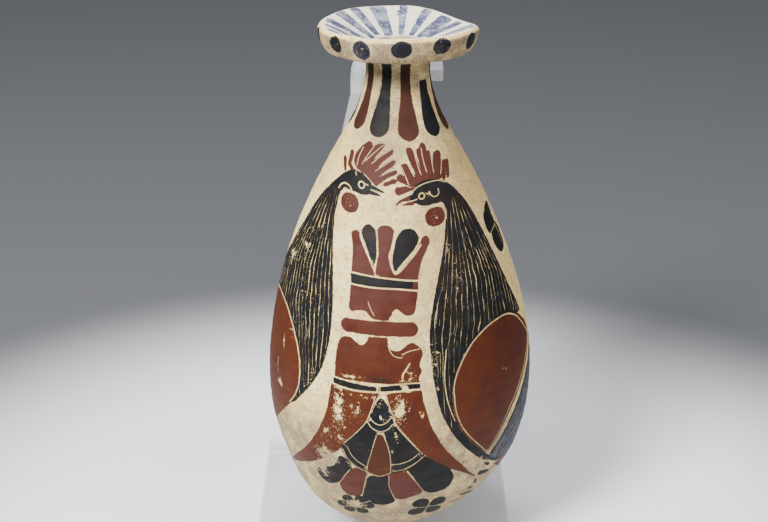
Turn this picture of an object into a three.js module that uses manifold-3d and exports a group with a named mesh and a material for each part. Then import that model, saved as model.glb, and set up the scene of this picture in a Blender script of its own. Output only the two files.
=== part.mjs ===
// A painted ceramic oil bottle of the pear-shaped kind with a broad mouth plate, upright in a clear acrylic stand.
// Millimetres, +Z up. The origin is the middle of the stand foot's underside, +X is to the right of the
// painted front and +Y is towards the back.
import * as THREE from 'three';
import { mergeVertices } from 'three/addons/utils/BufferGeometryUtils.js';
import Module from 'manifold-3d';

const wasm = await Module();
wasm.setup();

// Driving dimensions of the bottle. Each height starts where the one before it ends, the first at the
// ring that the bottle rests on.
const bellyRadius = 54.5;
const bellyHeight = 66;
const shoulderRise = 103.2;
const neckRise = 30.1;
const plateRise = 5.9; // from the neck's top to the lower corner of the plate's edge
const rimEdge = 9.8; // height of the plate's outer edge
const restRadius = 10; // the ring it rests on, around a shallow dimple
const dimpleDepth = 1.6;
const shoulderRadius = 22.4; // where the shoulder turns from convex to concave
const shoulderSlope = 0.59; // radius lost for each millimetre climbed there
const bellyRise = 2.1; // how long the belly keeps its upright tangent
const bellyReach = 60.3; // how long the shoulder keeps its slope below the turn
const shoulderReach = 14.3;
const neckRadius = 12.7;
const neckReach = 7.6;
const wall = 4.6;
const boreRadius = 7.5;
const throatRise = 6; // height over which the hollow narrows to the bore

// The mouth plate
const rimRadius = 31.7;
const rimBottomRadius = 28.8;
const lipRound = 2; // rounding of the lip
const plateFillet = 3.4; // hollow corner between the neck and the plate
const plateFlare = 1.6; // how the edge swells above its lower corner
const dishFlat = 7; // how far the dish runs level around the hole
const dishDepth = 9.8; // from the lip down to the hole

// Handmade irregularities
const baseShift = -4.9; // the underside sits this far to the left of the belly's axis
const baseShiftHeight = 40;
const neckShift = -0.9;
const neckShiftFrom = 90;
const lipSag = 2.7; // the lip dips at the back right
const lipSagAngle = 60; // degrees from the back towards the right
const lipSagSpread = 28;

// The lug handle, a short strap from the plate's underside down to the shoulder at the back
const handleTurn = 7.6; // degrees from the back towards the right
const handleReach = 26.8; // from the neck's axis to the strap's outer face
const handleWidth = 12;
const handleBand = 4.8;
const handleDrop = 3.2; // its outer face meets the shoulder this far below the turn
const handleEdge = 1.2; // rounding along the strap

// The stand
const footWidth = 107.5;
const footToe = 3.5; // the foot reaches this far past the belly at the front
const footHeel = 8.5; // and this far past the back plate
const footThickness = 8;
const footBevel = 0.8;
const bottleX = 6.5; // the belly's axis is this far right of the foot's middle
const backThickness = 5;
const backInset = 1.5; // each side, from the foot's edge
const backClearance = 2; // between the belly and the back plate
const backTopWidth = 23;
const collarThickness = 4.6;
const collarDrop = 15.7; // its underside is this far below the neck's top
const collarClearance = 1.9; // between the neck and the collar
const handleClearance = 2.4; // between the handle and the collar's front edge
const fingerAngle = 32; // degrees from the neck's left side towards its back, to the finger's tip
const fingerWidth = 4.4;
const collarCorner = 2.2;
const collarTaper = 12; // how far before its back edge it starts to narrow on the right
const touchGap = 0.3; // between pieces that touch

const segmentsRound = 48;

// Heights above the bottle's resting ring
const shoulderHeight = bellyHeight + shoulderRise;
const neckHeight = shoulderHeight + neckRise;
const rimHeight = neckHeight + plateRise + rimEdge;
const handleFoot = shoulderHeight - handleDrop;
const collarHeight = neckHeight - collarDrop;

// A cubic curve through the half plane, as points [radius, height]
function bend(from, pullFrom, pullTo, to, steps) {
  const v = ([r, z]) => new THREE.Vector2(r, z);
  return new THREE.CubicBezierCurve(v(from), v(pullFrom), v(pullTo), v(to)).getPoints(steps);
}

// The outside from the resting ring to the top of the neck
function outerWall() {
  const points = [];
  const depth = bellyHeight / Math.sqrt(1 - (restRadius / bellyRadius) ** 2);
  const restAngle = Math.acos(restRadius / bellyRadius);
  const stepsBelly = 14;
  for (let i = 0; i <= stepsBelly; i++) {
    const a = restAngle * (1 - i / stepsBelly);
    points.push(new THREE.Vector2(bellyRadius * Math.cos(a), bellyHeight - depth * Math.sin(a)));
  }
  const turn = [shoulderRadius, shoulderHeight];
  const belly = bend([bellyRadius, bellyHeight], [bellyRadius, bellyHeight + bellyRise],
    [shoulderRadius + shoulderSlope * bellyReach, shoulderHeight - bellyReach], turn, 13);
  const neck = bend(turn, [shoulderRadius - shoulderSlope * shoulderReach, shoulderHeight + shoulderReach],
    [neckRadius, neckHeight - neckReach], [neckRadius, neckHeight], 8);
  return [...points, ...belly.slice(1), ...neck.slice(1)];
}

// The mouth plate, from the top of the neck over the lip and down the dish to the bore
function mouthPlate() {
  const rimBottom = rimHeight - rimEdge;
  const rimTop = rimHeight - lipRound;
  const lipInside = rimRadius - lipRound;
  const dishFloor = rimHeight - dishDepth;
  const under = bend([neckRadius, neckHeight], [neckRadius, neckHeight + plateFillet],
    [(neckRadius + rimBottomRadius) / 2, rimBottom], [rimBottomRadius, rimBottom], 5).slice(1);
  const side = bend([rimBottomRadius, rimBottom], [rimBottomRadius + plateFlare, rimBottom + plateFlare],
    [rimRadius, rimTop - plateFlare], [rimRadius, rimTop], 4).slice(1);
  const lip = bend([rimRadius, rimTop], [rimRadius, rimTop + lipRound / 2],
    [lipInside + lipRound / 2, rimHeight], [lipInside, rimHeight], 3).slice(1);
  const dish = bend([lipInside, rimHeight], [lipInside - lipRound, rimHeight],
    [boreRadius + dishFlat, dishFloor + lipRound], [boreRadius, dishFloor], 6).slice(1);
  return [...under, ...side, ...lip, ...dish];
}

// The hollow inside: the outer wall moved in by the wall's thickness, no narrower than the bore
function innerWall(outer) {
  const points = [];
  for (let i = outer.length - 1; i > 0; i -= 2) {
    const before = outer[Math.max(i - 1, 0)];
    const after = outer[Math.min(i + 1, outer.length - 1)];
    const along = after.clone().sub(before).normalize();
    const inside = new THREE.Vector2(outer[i].x - wall * along.y, outer[i].y + wall * along.x);
    if (inside.x > boreRadius && inside.y < shoulderHeight + shoulderReach) points.push(inside);
  }
  const throat = new THREE.Vector2(boreRadius, points[0].y + throatRise);
  const floor = new THREE.Vector2(0, dimpleDepth + wall);
  return [throat, ...points, floor];
}

// A half-plane outline turned about the axis and stood upright, as a closed solid
function turned(points) {
  const lathe = new THREE.LatheGeometry(points, segmentsRound);
  lathe.rotateX(Math.PI / 2);
  return lathe;
}

const smooth = (t) => THREE.MathUtils.smoothstep(t, 0, 1);

// Pushes a true solid of revolution into the shape that the potter left
function settle(geometry) {
  const place = geometry.attributes.position;
  for (let i = 0; i < place.count; i++) {
    const x = place.getX(i);
    const y = place.getY(i);
    const z = place.getZ(i);
    const low = baseShift * (1 - smooth(z / baseShiftHeight));
    const high = neckShift * smooth((z - neckShiftFrom) / (shoulderHeight - neckShiftFrom));
    const angle = THREE.MathUtils.radToDeg(Math.atan2(x, y));
    const near = Math.exp(-(((angle - lipSagAngle) / lipSagSpread) ** 2));
    const onLip = smooth((z - rimHeight + rimEdge) / rimEdge) * smooth(Math.hypot(x, y) / rimRadius);
    place.setXYZ(i, x + low + high, y, z - lipSag * near * onLip);
  }
  return geometry;
}

// Closed geometry to a manifold solid, and back
function solid(geometry) {
  const bare = new THREE.BufferGeometry();
  bare.setAttribute('position', geometry.attributes.position.clone());
  if (geometry.index) bare.setIndex(geometry.index.clone());
  const merged = mergeVertices(bare, 1e-4);
  const corners = merged.index.array;
  const kept = [];
  for (let i = 0; i < corners.length; i += 3) {
    const [a, b, c] = [corners[i], corners[i + 1], corners[i + 2]];
    if (a !== b && b !== c && c !== a) kept.push(a, b, c);
  }
  return new wasm.Manifold(new wasm.Mesh({
    numProp: 3,
    vertProperties: new Float32Array(merged.attributes.position.array),
    triVerts: new Uint32Array(kept),
  }));
}

function geometryOf(manifold) {
  const mesh = manifold.getMesh();
  const geometry = new THREE.BufferGeometry();
  const count = mesh.vertProperties.length / mesh.numProp;
  const place = new Float32Array(count * 3);
  for (let i = 0; i < count; i++) {
    for (let k = 0; k < 3; k++) place[i * 3 + k] = mesh.vertProperties[i * mesh.numProp + k];
  }
  geometry.setAttribute('position', new THREE.BufferAttribute(place, 3));
  geometry.setIndex(new THREE.BufferAttribute(new Uint32Array(mesh.triVerts), 1));
  geometry.computeVertexNormals();
  return geometry;
}

// The outer wall's radius at a height
function wallRadius(outer, height) {
  const above = outer.findIndex((point) => point.x < bellyRadius && point.y > height && height > bellyHeight);
  const high = outer[above];
  const low = outer[above - 1];
  return THREE.MathUtils.mapLinear(height, low.y, high.y, low.x, high.x);
}

// The strap of the handle, drawn in the plane of the axis and given its width by extrusion
function handle(outer) {
  const top = rimHeight - rimEdge + wall / 2;
  const face = handleReach - handleBand;
  const inWall = wall / 3;
  const footTop = handleFoot + handleBand * 1.4;
  const strapShape = new THREE.Shape();
  strapShape.moveTo(face, top);
  strapShape.bezierCurveTo(face, top - 13, face, footTop + 10, wallRadius(outer, footTop) - inWall, footTop);
  strapShape.lineTo(wallRadius(outer, handleFoot) - inWall, handleFoot);
  strapShape.bezierCurveTo(handleReach + 1, handleFoot + 9, handleReach, top - 14, handleReach, top);
  strapShape.closePath();
  const strap = new THREE.ExtrudeGeometry(strapShape, {
    depth: handleWidth - 2 * handleEdge, bevelEnabled: true, bevelThickness: handleEdge, bevelSize: handleEdge,
    bevelOffset: -handleEdge, bevelSegments: 2, curveSegments: 7,
  });
  strap.translate(0, 0, -(handleWidth - 2 * handleEdge) / 2);
  // The drawing's first axis goes to the back and its second goes up
  const back = new THREE.Vector3(0, 1, 0);
  const up = new THREE.Vector3(0, 0, 1);
  const right = new THREE.Vector3(1, 0, 0);
  strap.applyMatrix4(new THREE.Matrix4().makeBasis(back, up, right));
  return strap.rotateZ(THREE.MathUtils.degToRad(-handleTurn));
}

function bottle() {
  const outer = outerWall();
  const dimple = bend([0, dimpleDepth], [restRadius / 2, dimpleDepth], [restRadius - 3, 0.2],
    [restRadius, 0], 4).slice(0, -1);
  const outline = [...dimple, ...outer, ...mouthPlate(), ...innerWall(outer)];
  outline[outline.length - 1].x = 0;
  const body = solid(settle(turned(outline)));
  const strap = solid(handle(outer).translate(neckShift, 0, 0));
  return geometryOf(body.add(strap));
}

function slab(width, depth, height, bevel) {
  const shape = new THREE.Shape();
  shape.moveTo(-width / 2, -depth / 2);
  shape.lineTo(width / 2, -depth / 2);
  shape.lineTo(width / 2, depth / 2);
  shape.lineTo(-width / 2, depth / 2);
  shape.closePath();
  const plate = new THREE.ExtrudeGeometry(shape, {
    depth: height - 2 * bevel, bevelEnabled: true, bevelThickness: bevel, bevelSize: bevel, bevelOffset: -bevel,
    bevelSegments: 1,
  });
  return plate.translate(0, 0, bevel);
}

// Places along Y, from the bottle's axis
const backFront = bellyRadius + backClearance;
const footBack = backFront + backThickness + footHeel;
const footDepth = bellyRadius + footToe + footBack;

// The back plate stands on the foot, nearly as wide as the foot below and narrow behind the neck
function backPlate() {
  const shape = new THREE.Shape();
  const half = footWidth / 2 - backInset;
  shape.moveTo(-half, touchGap);
  shape.lineTo(half, touchGap);
  shape.lineTo(backTopWidth / 2, collarHeight);
  shape.lineTo(-backTopWidth / 2, collarHeight);
  shape.closePath();
  const plate = new THREE.ExtrudeGeometry(shape, { depth: backThickness, bevelEnabled: false });
  return plate.rotateX(Math.PI / 2).translate(0, backThickness, 0);
}

// The collar is a flat hook: a plate behind the neck and its handle, with one finger along the neck's left
function collar() {
  const reach = wallRadius(outerWall(), collarHeight) + collarClearance;
  const tip = reach * Math.sin(THREE.MathUtils.degToRad(fingerAngle));
  const half = reach * Math.cos(THREE.MathUtils.degToRad(fingerAngle)) + fingerWidth;
  const front = Math.max(handleReach + handleClearance, reach);
  const back = backFront + backThickness;
  const c = collarCorner;
  const backHalf = backTopWidth / 2;
  const backMiddle = -bottleX - neckShift;
  const shape = new THREE.Shape();
  shape.moveTo(-half, front + 2 * c);
  shape.lineTo(-half, tip + c);
  shape.absarc(-half + c, tip + c, c, Math.PI, 1.5 * Math.PI, false);
  shape.lineTo(-half + fingerWidth, tip);
  shape.lineTo(-half + fingerWidth, front);
  shape.lineTo(half - c, front);
  shape.absarc(half - c, front + c, c, 1.5 * Math.PI, 2 * Math.PI, false);
  shape.lineTo(half, back - collarTaper);
  shape.lineTo(backMiddle + backHalf, back);
  shape.lineTo(backMiddle - backHalf, back);
  shape.closePath();
  return new THREE.ExtrudeGeometry(shape, { depth: collarThickness, bevelEnabled: false, curveSegments: 4 });
}

const clay = new THREE.MeshStandardMaterial({ color: 0xd8c39a, roughness: 0.62, metalness: 0 });
const acrylic = new THREE.MeshStandardMaterial({ color: 0xd9e4ee, roughness: 0.12, metalness: 0, transparent: true,
  opacity: 0.5 });

function named(name, geometry, material, x, y, z) {
  const mesh = new THREE.Mesh(geometry, material);
  mesh.name = name;
  mesh.position.set(x, y, z);
  return mesh;
}

const part = new THREE.Group();
const restZ = footThickness + touchGap;
const bottleY = footDepth / 2 - footBack;
part.add(named('painted_bottle', bottle(), clay, bottleX, bottleY, restZ));
part.add(named('stand_foot', slab(footWidth, footDepth, footThickness, footBevel), acrylic, 0, 0, 0));
part.add(named('stand_back', backPlate(), acrylic, 0, bottleY + backFront, footThickness));
part.add(named('neck_collar', collar(), acrylic, bottleX + neckShift, bottleY, restZ + collarHeight));

export default part;
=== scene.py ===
"""An ancient painted oil bottle in a clear stand: blue-black slip and purple-red paint on pale clay, with two
cocks facing each other over an upright lotus and palmette. The bottle is shaped in millimetres and then set
into the frame, which is in metres."""

import math

import bpy
import numpy as np
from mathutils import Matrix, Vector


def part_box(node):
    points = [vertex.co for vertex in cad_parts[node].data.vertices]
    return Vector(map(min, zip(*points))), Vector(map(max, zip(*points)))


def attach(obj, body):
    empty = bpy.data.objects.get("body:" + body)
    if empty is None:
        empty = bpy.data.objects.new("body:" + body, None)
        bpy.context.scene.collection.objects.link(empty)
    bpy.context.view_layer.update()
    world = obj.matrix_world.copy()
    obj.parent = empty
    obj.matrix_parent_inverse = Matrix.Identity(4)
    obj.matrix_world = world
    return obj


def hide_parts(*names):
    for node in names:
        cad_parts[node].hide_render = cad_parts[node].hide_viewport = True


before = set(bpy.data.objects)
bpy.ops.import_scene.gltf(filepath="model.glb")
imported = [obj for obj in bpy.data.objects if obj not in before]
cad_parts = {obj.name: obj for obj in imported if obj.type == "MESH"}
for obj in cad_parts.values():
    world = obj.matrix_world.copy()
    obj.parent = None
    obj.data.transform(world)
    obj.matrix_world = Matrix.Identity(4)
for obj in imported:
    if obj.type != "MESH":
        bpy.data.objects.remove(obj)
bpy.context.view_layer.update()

MM = 0.001

# The bottle's sizes in millimetres. Heights are above the ring it rests on. A pull is how far the end of a
# curve aims straight on before it bends.
BELLY_RADIUS = 54.5
BELLY_HEIGHT = 66.0
BELLY_PULL = 2.1
SHOULDER_PULL = 60.3
TURN_RADIUS = 22.4  # where the shoulder turns from convex to concave
TURN_HEIGHT = 169.2
TURN_SLOPE = 0.59
TURN_PULL = 14.3
NECK_RADIUS = 12.7
NECK_HEIGHT = 199.3
NECK_PULL = 7.6
REST_RADIUS = 10.0
DIMPLE_DEPTH = 1.6
WALL = 4.6
BORE_RADIUS = 7.5
THROAT_HEIGHT = 183.0  # where the shoulder's hollow has narrowed to the bore
RIM_RADIUS = 31.7
RIM_BOTTOM_RADIUS = 28.8
RIM_BOTTOM = 205.2
RIM_HEIGHT = 215.0
RIM_PULL = 1.6
UNDERSIDE_PULL = 3.4
LIP_ROUND = 2.0
DISH_DEPTH = 9.8
DISH_PULL = 7.0

# How far the handmade bottle is from a true one, in millimetres
BASE_SHIFT = -4.9
BASE_SHIFT_HEIGHT = 40.0
NECK_SHIFT = -0.9
NECK_SHIFT_FROM = 90.0
LIP_SAG = 2.7
LIP_SAG_ANGLE = 60.0  # degrees from the back towards the right
LIP_SAG_SPREAD = 28.0  # degrees

bottle_low, bottle_high = (np.array(c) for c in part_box("painted_bottle"))
AXIS_X = (bottle_low[0] + bottle_high[0]) / 2
AXIS_Y = (bottle_low[1] + bottle_high[1]) / 2
REST_Z = bottle_low[2]


def deselect():
    """Nothing selected and object mode on, before each new piece."""
    if bpy.context.object and bpy.context.object.mode != "OBJECT":
        bpy.ops.object.mode_set(mode="OBJECT")
    bpy.ops.object.select_all(action="DESELECT")


def activate(piece):
    deselect()
    piece.select_set(True)
    bpy.context.view_layer.objects.active = piece


def apply_all(piece):
    """Applies every modifier of a piece."""
    activate(piece)
    for modifier in list(piece.modifiers):
        bpy.ops.object.modifier_apply(modifier=modifier.name)


def settle_origin(piece):
    """Puts a piece's place, turn and scale into its mesh."""
    activate(piece)
    bpy.ops.object.transform_apply(location=True, rotation=True, scale=True)


def read_vertices(piece):
    places = np.empty(len(piece.data.vertices) * 3)
    piece.data.vertices.foreach_get("co", places)
    return places.reshape(-1, 3)


def write_vertices(piece, places):
    piece.data.vertices.foreach_set("co", places.ravel())
    piece.data.update()


def smooth_step(t):
    t = np.clip(t, 0.0, 1.0)
    return t * t * (3 - 2 * t)


# The bottle's outline, as rows of (radius, height) in millimetres


def bend(start, pull_start, pull_end, end, steps=80):
    """A cubic curve from start to end."""
    t = np.linspace(0, 1, steps)[:, None]
    a, b, c, d = (np.array(p, float) for p in (start, pull_start, pull_end, end))
    return (1 - t) ** 3 * a + 3 * (1 - t) ** 2 * t * b + 3 * (1 - t) * t * t * c + t ** 3 * d


def chain(*curves):
    """Curves end to end, without the doubled points."""
    return np.vstack([curves[0]] + [c[1:] for c in curves[1:]])


def lengths(line):
    return np.concatenate([[0], np.cumsum(np.hypot(*np.diff(line, axis=0).T))])


def respaced(line, spacing):
    """The same line with evenly spaced points."""
    along = lengths(line)
    marks = np.linspace(0, along[-1], max(2, int(round(along[-1] / spacing)) + 1))
    return np.stack([np.interp(marks, along, line[:, 0]), np.interp(marks, along, line[:, 1])], axis=1)


def wall_line():
    """From the resting ring up to the top of the neck."""
    widest = (BELLY_RADIUS, BELLY_HEIGHT)
    turn = (TURN_RADIUS, TURN_HEIGHT)
    depth = BELLY_HEIGHT / math.sqrt(1 - (REST_RADIUS / BELLY_RADIUS) ** 2)
    angle = np.linspace(math.acos(REST_RADIUS / BELLY_RADIUS), 0, 160)
    base = np.stack([BELLY_RADIUS * np.cos(angle), BELLY_HEIGHT - depth * np.sin(angle)], axis=1)
    shoulder = bend(widest, (BELLY_RADIUS, BELLY_HEIGHT + BELLY_PULL),
                    (TURN_RADIUS + TURN_SLOPE * SHOULDER_PULL, TURN_HEIGHT - SHOULDER_PULL), turn, 200)
    neck = bend(turn, (TURN_RADIUS - TURN_SLOPE * TURN_PULL, TURN_HEIGHT + TURN_PULL),
                (NECK_RADIUS, NECK_HEIGHT - NECK_PULL), (NECK_RADIUS, NECK_HEIGHT))
    return chain(base, shoulder, neck)


WALL_LINE = wall_line()
WALL_ALONG = lengths(WALL_LINE)
WALL_ALONG = WALL_ALONG - np.interp(BELLY_HEIGHT, WALL_LINE[:, 1], WALL_ALONG)


def stretch(low, high, spacing):
    """The part of the wall line between two places along it, measured from the belly's widest place."""
    marks = np.linspace(low, high, int(round((high - low) / spacing)) + 1)
    return np.stack([np.interp(marks, WALL_ALONG, WALL_LINE[:, 0]),
                     np.interp(marks, WALL_ALONG, WALL_LINE[:, 1])], axis=1)


def mouth_line():
    """From the top of the neck over the lip and down the dish to the hole."""
    rim_top = RIM_HEIGHT - LIP_ROUND
    lip_inside = RIM_RADIUS - LIP_ROUND
    dish_floor = RIM_HEIGHT - DISH_DEPTH
    under = bend((NECK_RADIUS, NECK_HEIGHT), (NECK_RADIUS, NECK_HEIGHT + UNDERSIDE_PULL),
                 ((NECK_RADIUS + RIM_BOTTOM_RADIUS) / 2, RIM_BOTTOM), (RIM_BOTTOM_RADIUS, RIM_BOTTOM))
    side = bend((RIM_BOTTOM_RADIUS, RIM_BOTTOM), (RIM_BOTTOM_RADIUS + RIM_PULL, RIM_BOTTOM + RIM_PULL),
                (RIM_RADIUS, rim_top - RIM_PULL), (RIM_RADIUS, rim_top))
    lip = bend((RIM_RADIUS, rim_top), (RIM_RADIUS, rim_top + LIP_ROUND / 2),
               (lip_inside + LIP_ROUND / 2, RIM_HEIGHT), (lip_inside, RIM_HEIGHT))
    dish = bend((lip_inside, RIM_HEIGHT), (lip_inside - LIP_ROUND, RIM_HEIGHT),
                (BORE_RADIUS + DISH_PULL, dish_floor + LIP_ROUND), (BORE_RADIUS, dish_floor))
    return chain(respaced(under, 1.5), respaced(side, 0.7), respaced(lip, 0.5), respaced(dish, 1.0))


def hollow_line():
    """The inside, from the hole down to the floor, a wall's thickness from the outside."""
    top = np.interp(THROAT_HEIGHT, WALL_LINE[:, 1], WALL_ALONG)
    line = stretch(WALL_ALONG[0] + 2, top, 9.0)[::-1]
    along = np.gradient(line, axis=0)
    along /= np.linalg.norm(along, axis=1)[:, None]
    inside = line + WALL * np.stack([along[:, 1], -along[:, 0]], axis=1)
    throat = [(BORE_RADIUS, RIM_HEIGHT - DISH_DEPTH - 6), (BORE_RADIUS, inside[0, 1] + 6)]
    return np.vstack([throat, inside, [(0, DIMPLE_DEPTH + WALL)]])


# Places along the wall, between which its points are near together or further apart
DRAWING_LOW = -58
COMBS_LOW = 84
COMBS_HIGH = 114


def bottle_outline():
    dimple = bend((0, DIMPLE_DEPTH), (REST_RADIUS / 2, DIMPLE_DEPTH), (REST_RADIUS - 3, 0.2),
                  (REST_RADIUS, 0), 5)
    wall = chain(stretch(WALL_ALONG[0], DRAWING_LOW, 2.5), stretch(DRAWING_LOW, COMBS_LOW, 0.9),
                 stretch(COMBS_LOW, COMBS_HIGH, 0.5), stretch(COMBS_HIGH, WALL_ALONG[-1], 1.0))
    return np.vstack([dimple[:-1], wall, mouth_line()[1:], hollow_line()])


FRONT_DEGREES = 190
FRONT_STEPS = 225
BACK_STEPS = 52


def spin_bottle():
    """The outline turned about the axis, clockwise from above: in fine steps from the front's right edge to
    its left edge, and then in wider ones round the back."""
    outline = bottle_outline()
    start = math.radians(FRONT_DEGREES / 2)
    places = [(r * math.sin(start), -r * math.cos(start), z) for r, z in outline]
    mesh = bpy.data.meshes.new("painted_bottle_outline")
    mesh.from_pydata(places, [(i, i + 1) for i in range(len(places) - 1)], [])
    piece = bpy.data.objects.new("bottle", mesh)
    bpy.context.collection.objects.link(piece)
    activate(piece)
    bpy.ops.object.mode_set(mode="EDIT")
    bpy.ops.mesh.select_all(action="SELECT")
    bpy.ops.mesh.spin(steps=FRONT_STEPS, angle=math.radians(FRONT_DEGREES), center=(0, 0, 0), axis=(0, 0, 1))
    bpy.ops.mesh.spin(steps=BACK_STEPS, angle=math.radians(360 - FRONT_DEGREES), center=(0, 0, 0),
                      axis=(0, 0, 1))
    bpy.ops.mesh.select_all(action="SELECT")
    bpy.ops.mesh.remove_doubles(threshold=0.002)
    bpy.ops.mesh.normals_make_consistent(inside=False)
    bpy.ops.object.mode_set(mode="OBJECT")
    bpy.ops.object.shade_smooth()
    return piece


def axis_shift(z):
    """How far the handmade bottle's middle lies from a true axis at a height."""
    low = BASE_SHIFT * (1 - smooth_step(z / BASE_SHIFT_HEIGHT))
    high = NECK_SHIFT * smooth_step((z - NECK_SHIFT_FROM) / (TURN_HEIGHT - NECK_SHIFT_FROM))
    return low + high


def settle_bottle(places):
    """The true turned form pushed into the one that the potter left, still in millimetres."""
    x, y, z = places.T
    radius = np.hypot(x, y)
    angle = np.arctan2(x, -y)
    from_back = np.degrees(np.arctan2(x, y))
    near_sag = np.exp(-(((from_back - LIP_SAG_ANGLE) / LIP_SAG_SPREAD) ** 2))
    on_lip = smooth_step((z - RIM_BOTTOM) / (RIM_HEIGHT - RIM_BOTTOM)) * smooth_step(radius / RIM_RADIUS)
    uneven = 0.16 * np.sin(3 * angle + 0.05 * z) + 0.12 * np.sin(5 * angle - 0.09 * z + 1.3)
    rings = 0.05 * np.sin(z * 1.15 + 0.6 * np.sin(angle)) + 0.04 * np.sin(z * 0.47 + 2)
    swell = 1 + (uneven + rings) * smooth_step(radius / 12) / np.maximum(radius, 12)
    lip_wave = 0.25 * np.sin(2 * angle + 0.7) + 0.15 * np.sin(7 * angle)
    settled_z = z - LIP_SAG * near_sag * on_lip + lip_wave * on_lip
    return np.stack([x * swell + axis_shift(z), y * swell, settled_z], axis=1)


# Chips in the lip: (degrees from the front, height, radius from the axis, size) in millimetres
CHIPS = [(-62, 216.0, 32.6, 2.6), (-22, 216.2, 33.0, 2.0), (47, 215.6, 33.0, 2.4), (96, 215.4, 33.2, 3.2),
    (158, 214.8, 33.4, 3.6), (-118, 204.2, 31.4, 3.0), (-150, 215.9, 33.0, 2.8)]


def chip_bottle(places):
    """Scoops small flakes out of the lip: what lies inside a ball is pushed onto it."""
    for degrees, height, radius, size in CHIPS:
        a = math.radians(degrees)
        middle = np.array([radius * math.sin(a) + NECK_SHIFT, -radius * math.cos(a), height])
        away = places - middle
        reach = np.linalg.norm(away, axis=1)
        inside = reach < size
        rough = 1 - 0.06 * np.sin(places[inside, 0] * 5.1) * np.sin(places[inside, 2] * 6.3)
        places[inside] = middle + away[inside] / reach[inside, None] * size * rough[:, None]
    return places


# Shapes on the drawing plane, as signed distances: negative inside, millimetres

FAR = 3.0


def near(points, low, high):
    """Which points lie in a box or close to it."""
    return np.flatnonzero(((points > np.array(low) - FAR) & (points < np.array(high) + FAR)).all(axis=1))

CURVE_STEPS = 6  # straight lines from one point of a drawn curve to the next


def curve_through(before, here, after, beyond):
    """The smooth curve from each point to the one after it."""
    t = np.linspace(0, 1, CURVE_STEPS, endpoint=False)[None, :, None]
    curve = 0.5 * (2 * here + (after - before) * t + (2 * before - 5 * here + 4 * after - beyond) * t ** 2
                   + (3 * here - before - 3 * after + beyond) * t ** 3)
    return curve.reshape(-1, 2)


def rounded(outline):
    """A smooth closed curve through the points of an outline. A doubled point keeps its corner sharp."""
    here = np.array(outline, float)
    before, after, beyond = (np.roll(here, k, 0) for k in (1, -1, -2))
    moves = (here != after).any(axis=1)
    return curve_through(*(q[moves][:, None, :] for q in (before, here, after, beyond)))


def outline_distance(points, outline):
    """Which points are near a closed outline, and their signed distance from it."""
    curve = rounded(outline)
    chosen = near(points, curve.min(0), curve.max(0))
    q = points[chosen]
    best = np.full(len(q), np.inf)
    inside = np.zeros(len(q), bool)
    for a, b in zip(curve, np.roll(curve, -1, 0)):
        edge = b - a
        length = edge @ edge
        if length < 1e-12:
            continue
        rel = q - a
        t = np.clip(rel @ edge / length, 0, 1)
        gap = rel - t[:, None] * edge
        best = np.minimum(best, (gap ** 2).sum(1))
        crosses = (a[1] > q[:, 1]) != (b[1] > q[:, 1])
        if abs(edge[1]) > 1e-12:
            inside ^= crosses & (q[:, 0] < a[0] + (q[:, 1] - a[1]) * edge[0] / edge[1])
    distance = np.sqrt(best)
    return chosen, np.where(inside, -distance, distance)


def drop_distance(points, a, radius_a, b, radius_b):
    """A drop or petal: a round end of one radius at a, of another at b, straight between them."""
    a, b = np.array(a, float), np.array(b, float)
    reach = max(radius_a, radius_b)
    chosen = near(points, np.minimum(a, b) - reach, np.maximum(a, b) + reach)
    rel = points[chosen] - a
    edge = b - a
    t = np.clip(rel @ edge / max(edge @ edge, 1e-9), 0, 1)
    gap = np.linalg.norm(rel - t[:, None] * edge, axis=1)
    return chosen, gap - (radius_a + t * (radius_b - radius_a))


# Scored lines: how far from one its mark ends, how softly, and how softly it stops past its ends
SCORE_REACH = 1.15
SCORE_FADE = 0.35
SCORE_END = 0.5
NOWHERE = 99.0


def line_distance(points, line, half_width):
    """Which points are near an open line, their signed distance from it in shares of its half width, how much
    of its mark reaches them, and their plain distance."""
    line = np.array(line, float)
    ends = np.vstack([2 * line[0] - line[1], line, 2 * line[-1] - line[-2]])
    curve = curve_through(*(ends[k:len(ends) - 3 + k][:, None, :] for k in range(4)))
    curve = np.vstack([curve, line[-1]])
    chosen = near(points, curve.min(0), curve.max(0))
    q = points[chosen]
    best = np.full(len(q), NOWHERE)
    side = np.ones(len(q))
    past = np.zeros(len(q))
    for k, (start, end) in enumerate(zip(curve[:-1], curve[1:])):
        edge = end - start
        length = math.sqrt(edge @ edge)
        rel = q - start
        reach = rel @ edge / length
        gap = np.linalg.norm(rel - np.clip(reach, 0, length)[:, None] / length * edge, axis=1)
        closer = gap < best
        best[closer] = gap[closer]
        side[closer] = np.sign(edge[0] * rel[:, 1] - edge[1] * rel[:, 0])[closer]
        beyond = np.zeros(len(q))
        if k == 0:
            beyond = np.maximum(beyond, -reach)
        if k == len(curve) - 2:
            beyond = np.maximum(beyond, reach - length)
        past[closer] = beyond[closer]
    on = smooth_step((SCORE_REACH - best) / SCORE_FADE) * smooth_step(1 - past / SCORE_END)
    return chosen, side * best / half_width, on, best


# The paint's layers, with what each holds where nothing is painted: the distance from the edge of black slip
# and of red paint, the count of feather lines, their gap and where they are, the distance from a scored line
# and where it shows, how worn the paint is, how dark (olive stains, and painted shade on the neck) and how
# pale
LAYERS = {"black": FAR, "red": FAR, "feather": 0.0, "feather_gap": 1.0, "feather_on": 0.0, "cut": FAR,
          "cut_on": 0.0, "wear": 0.0, "dark": 0.0, "pale": 0.0}


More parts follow.
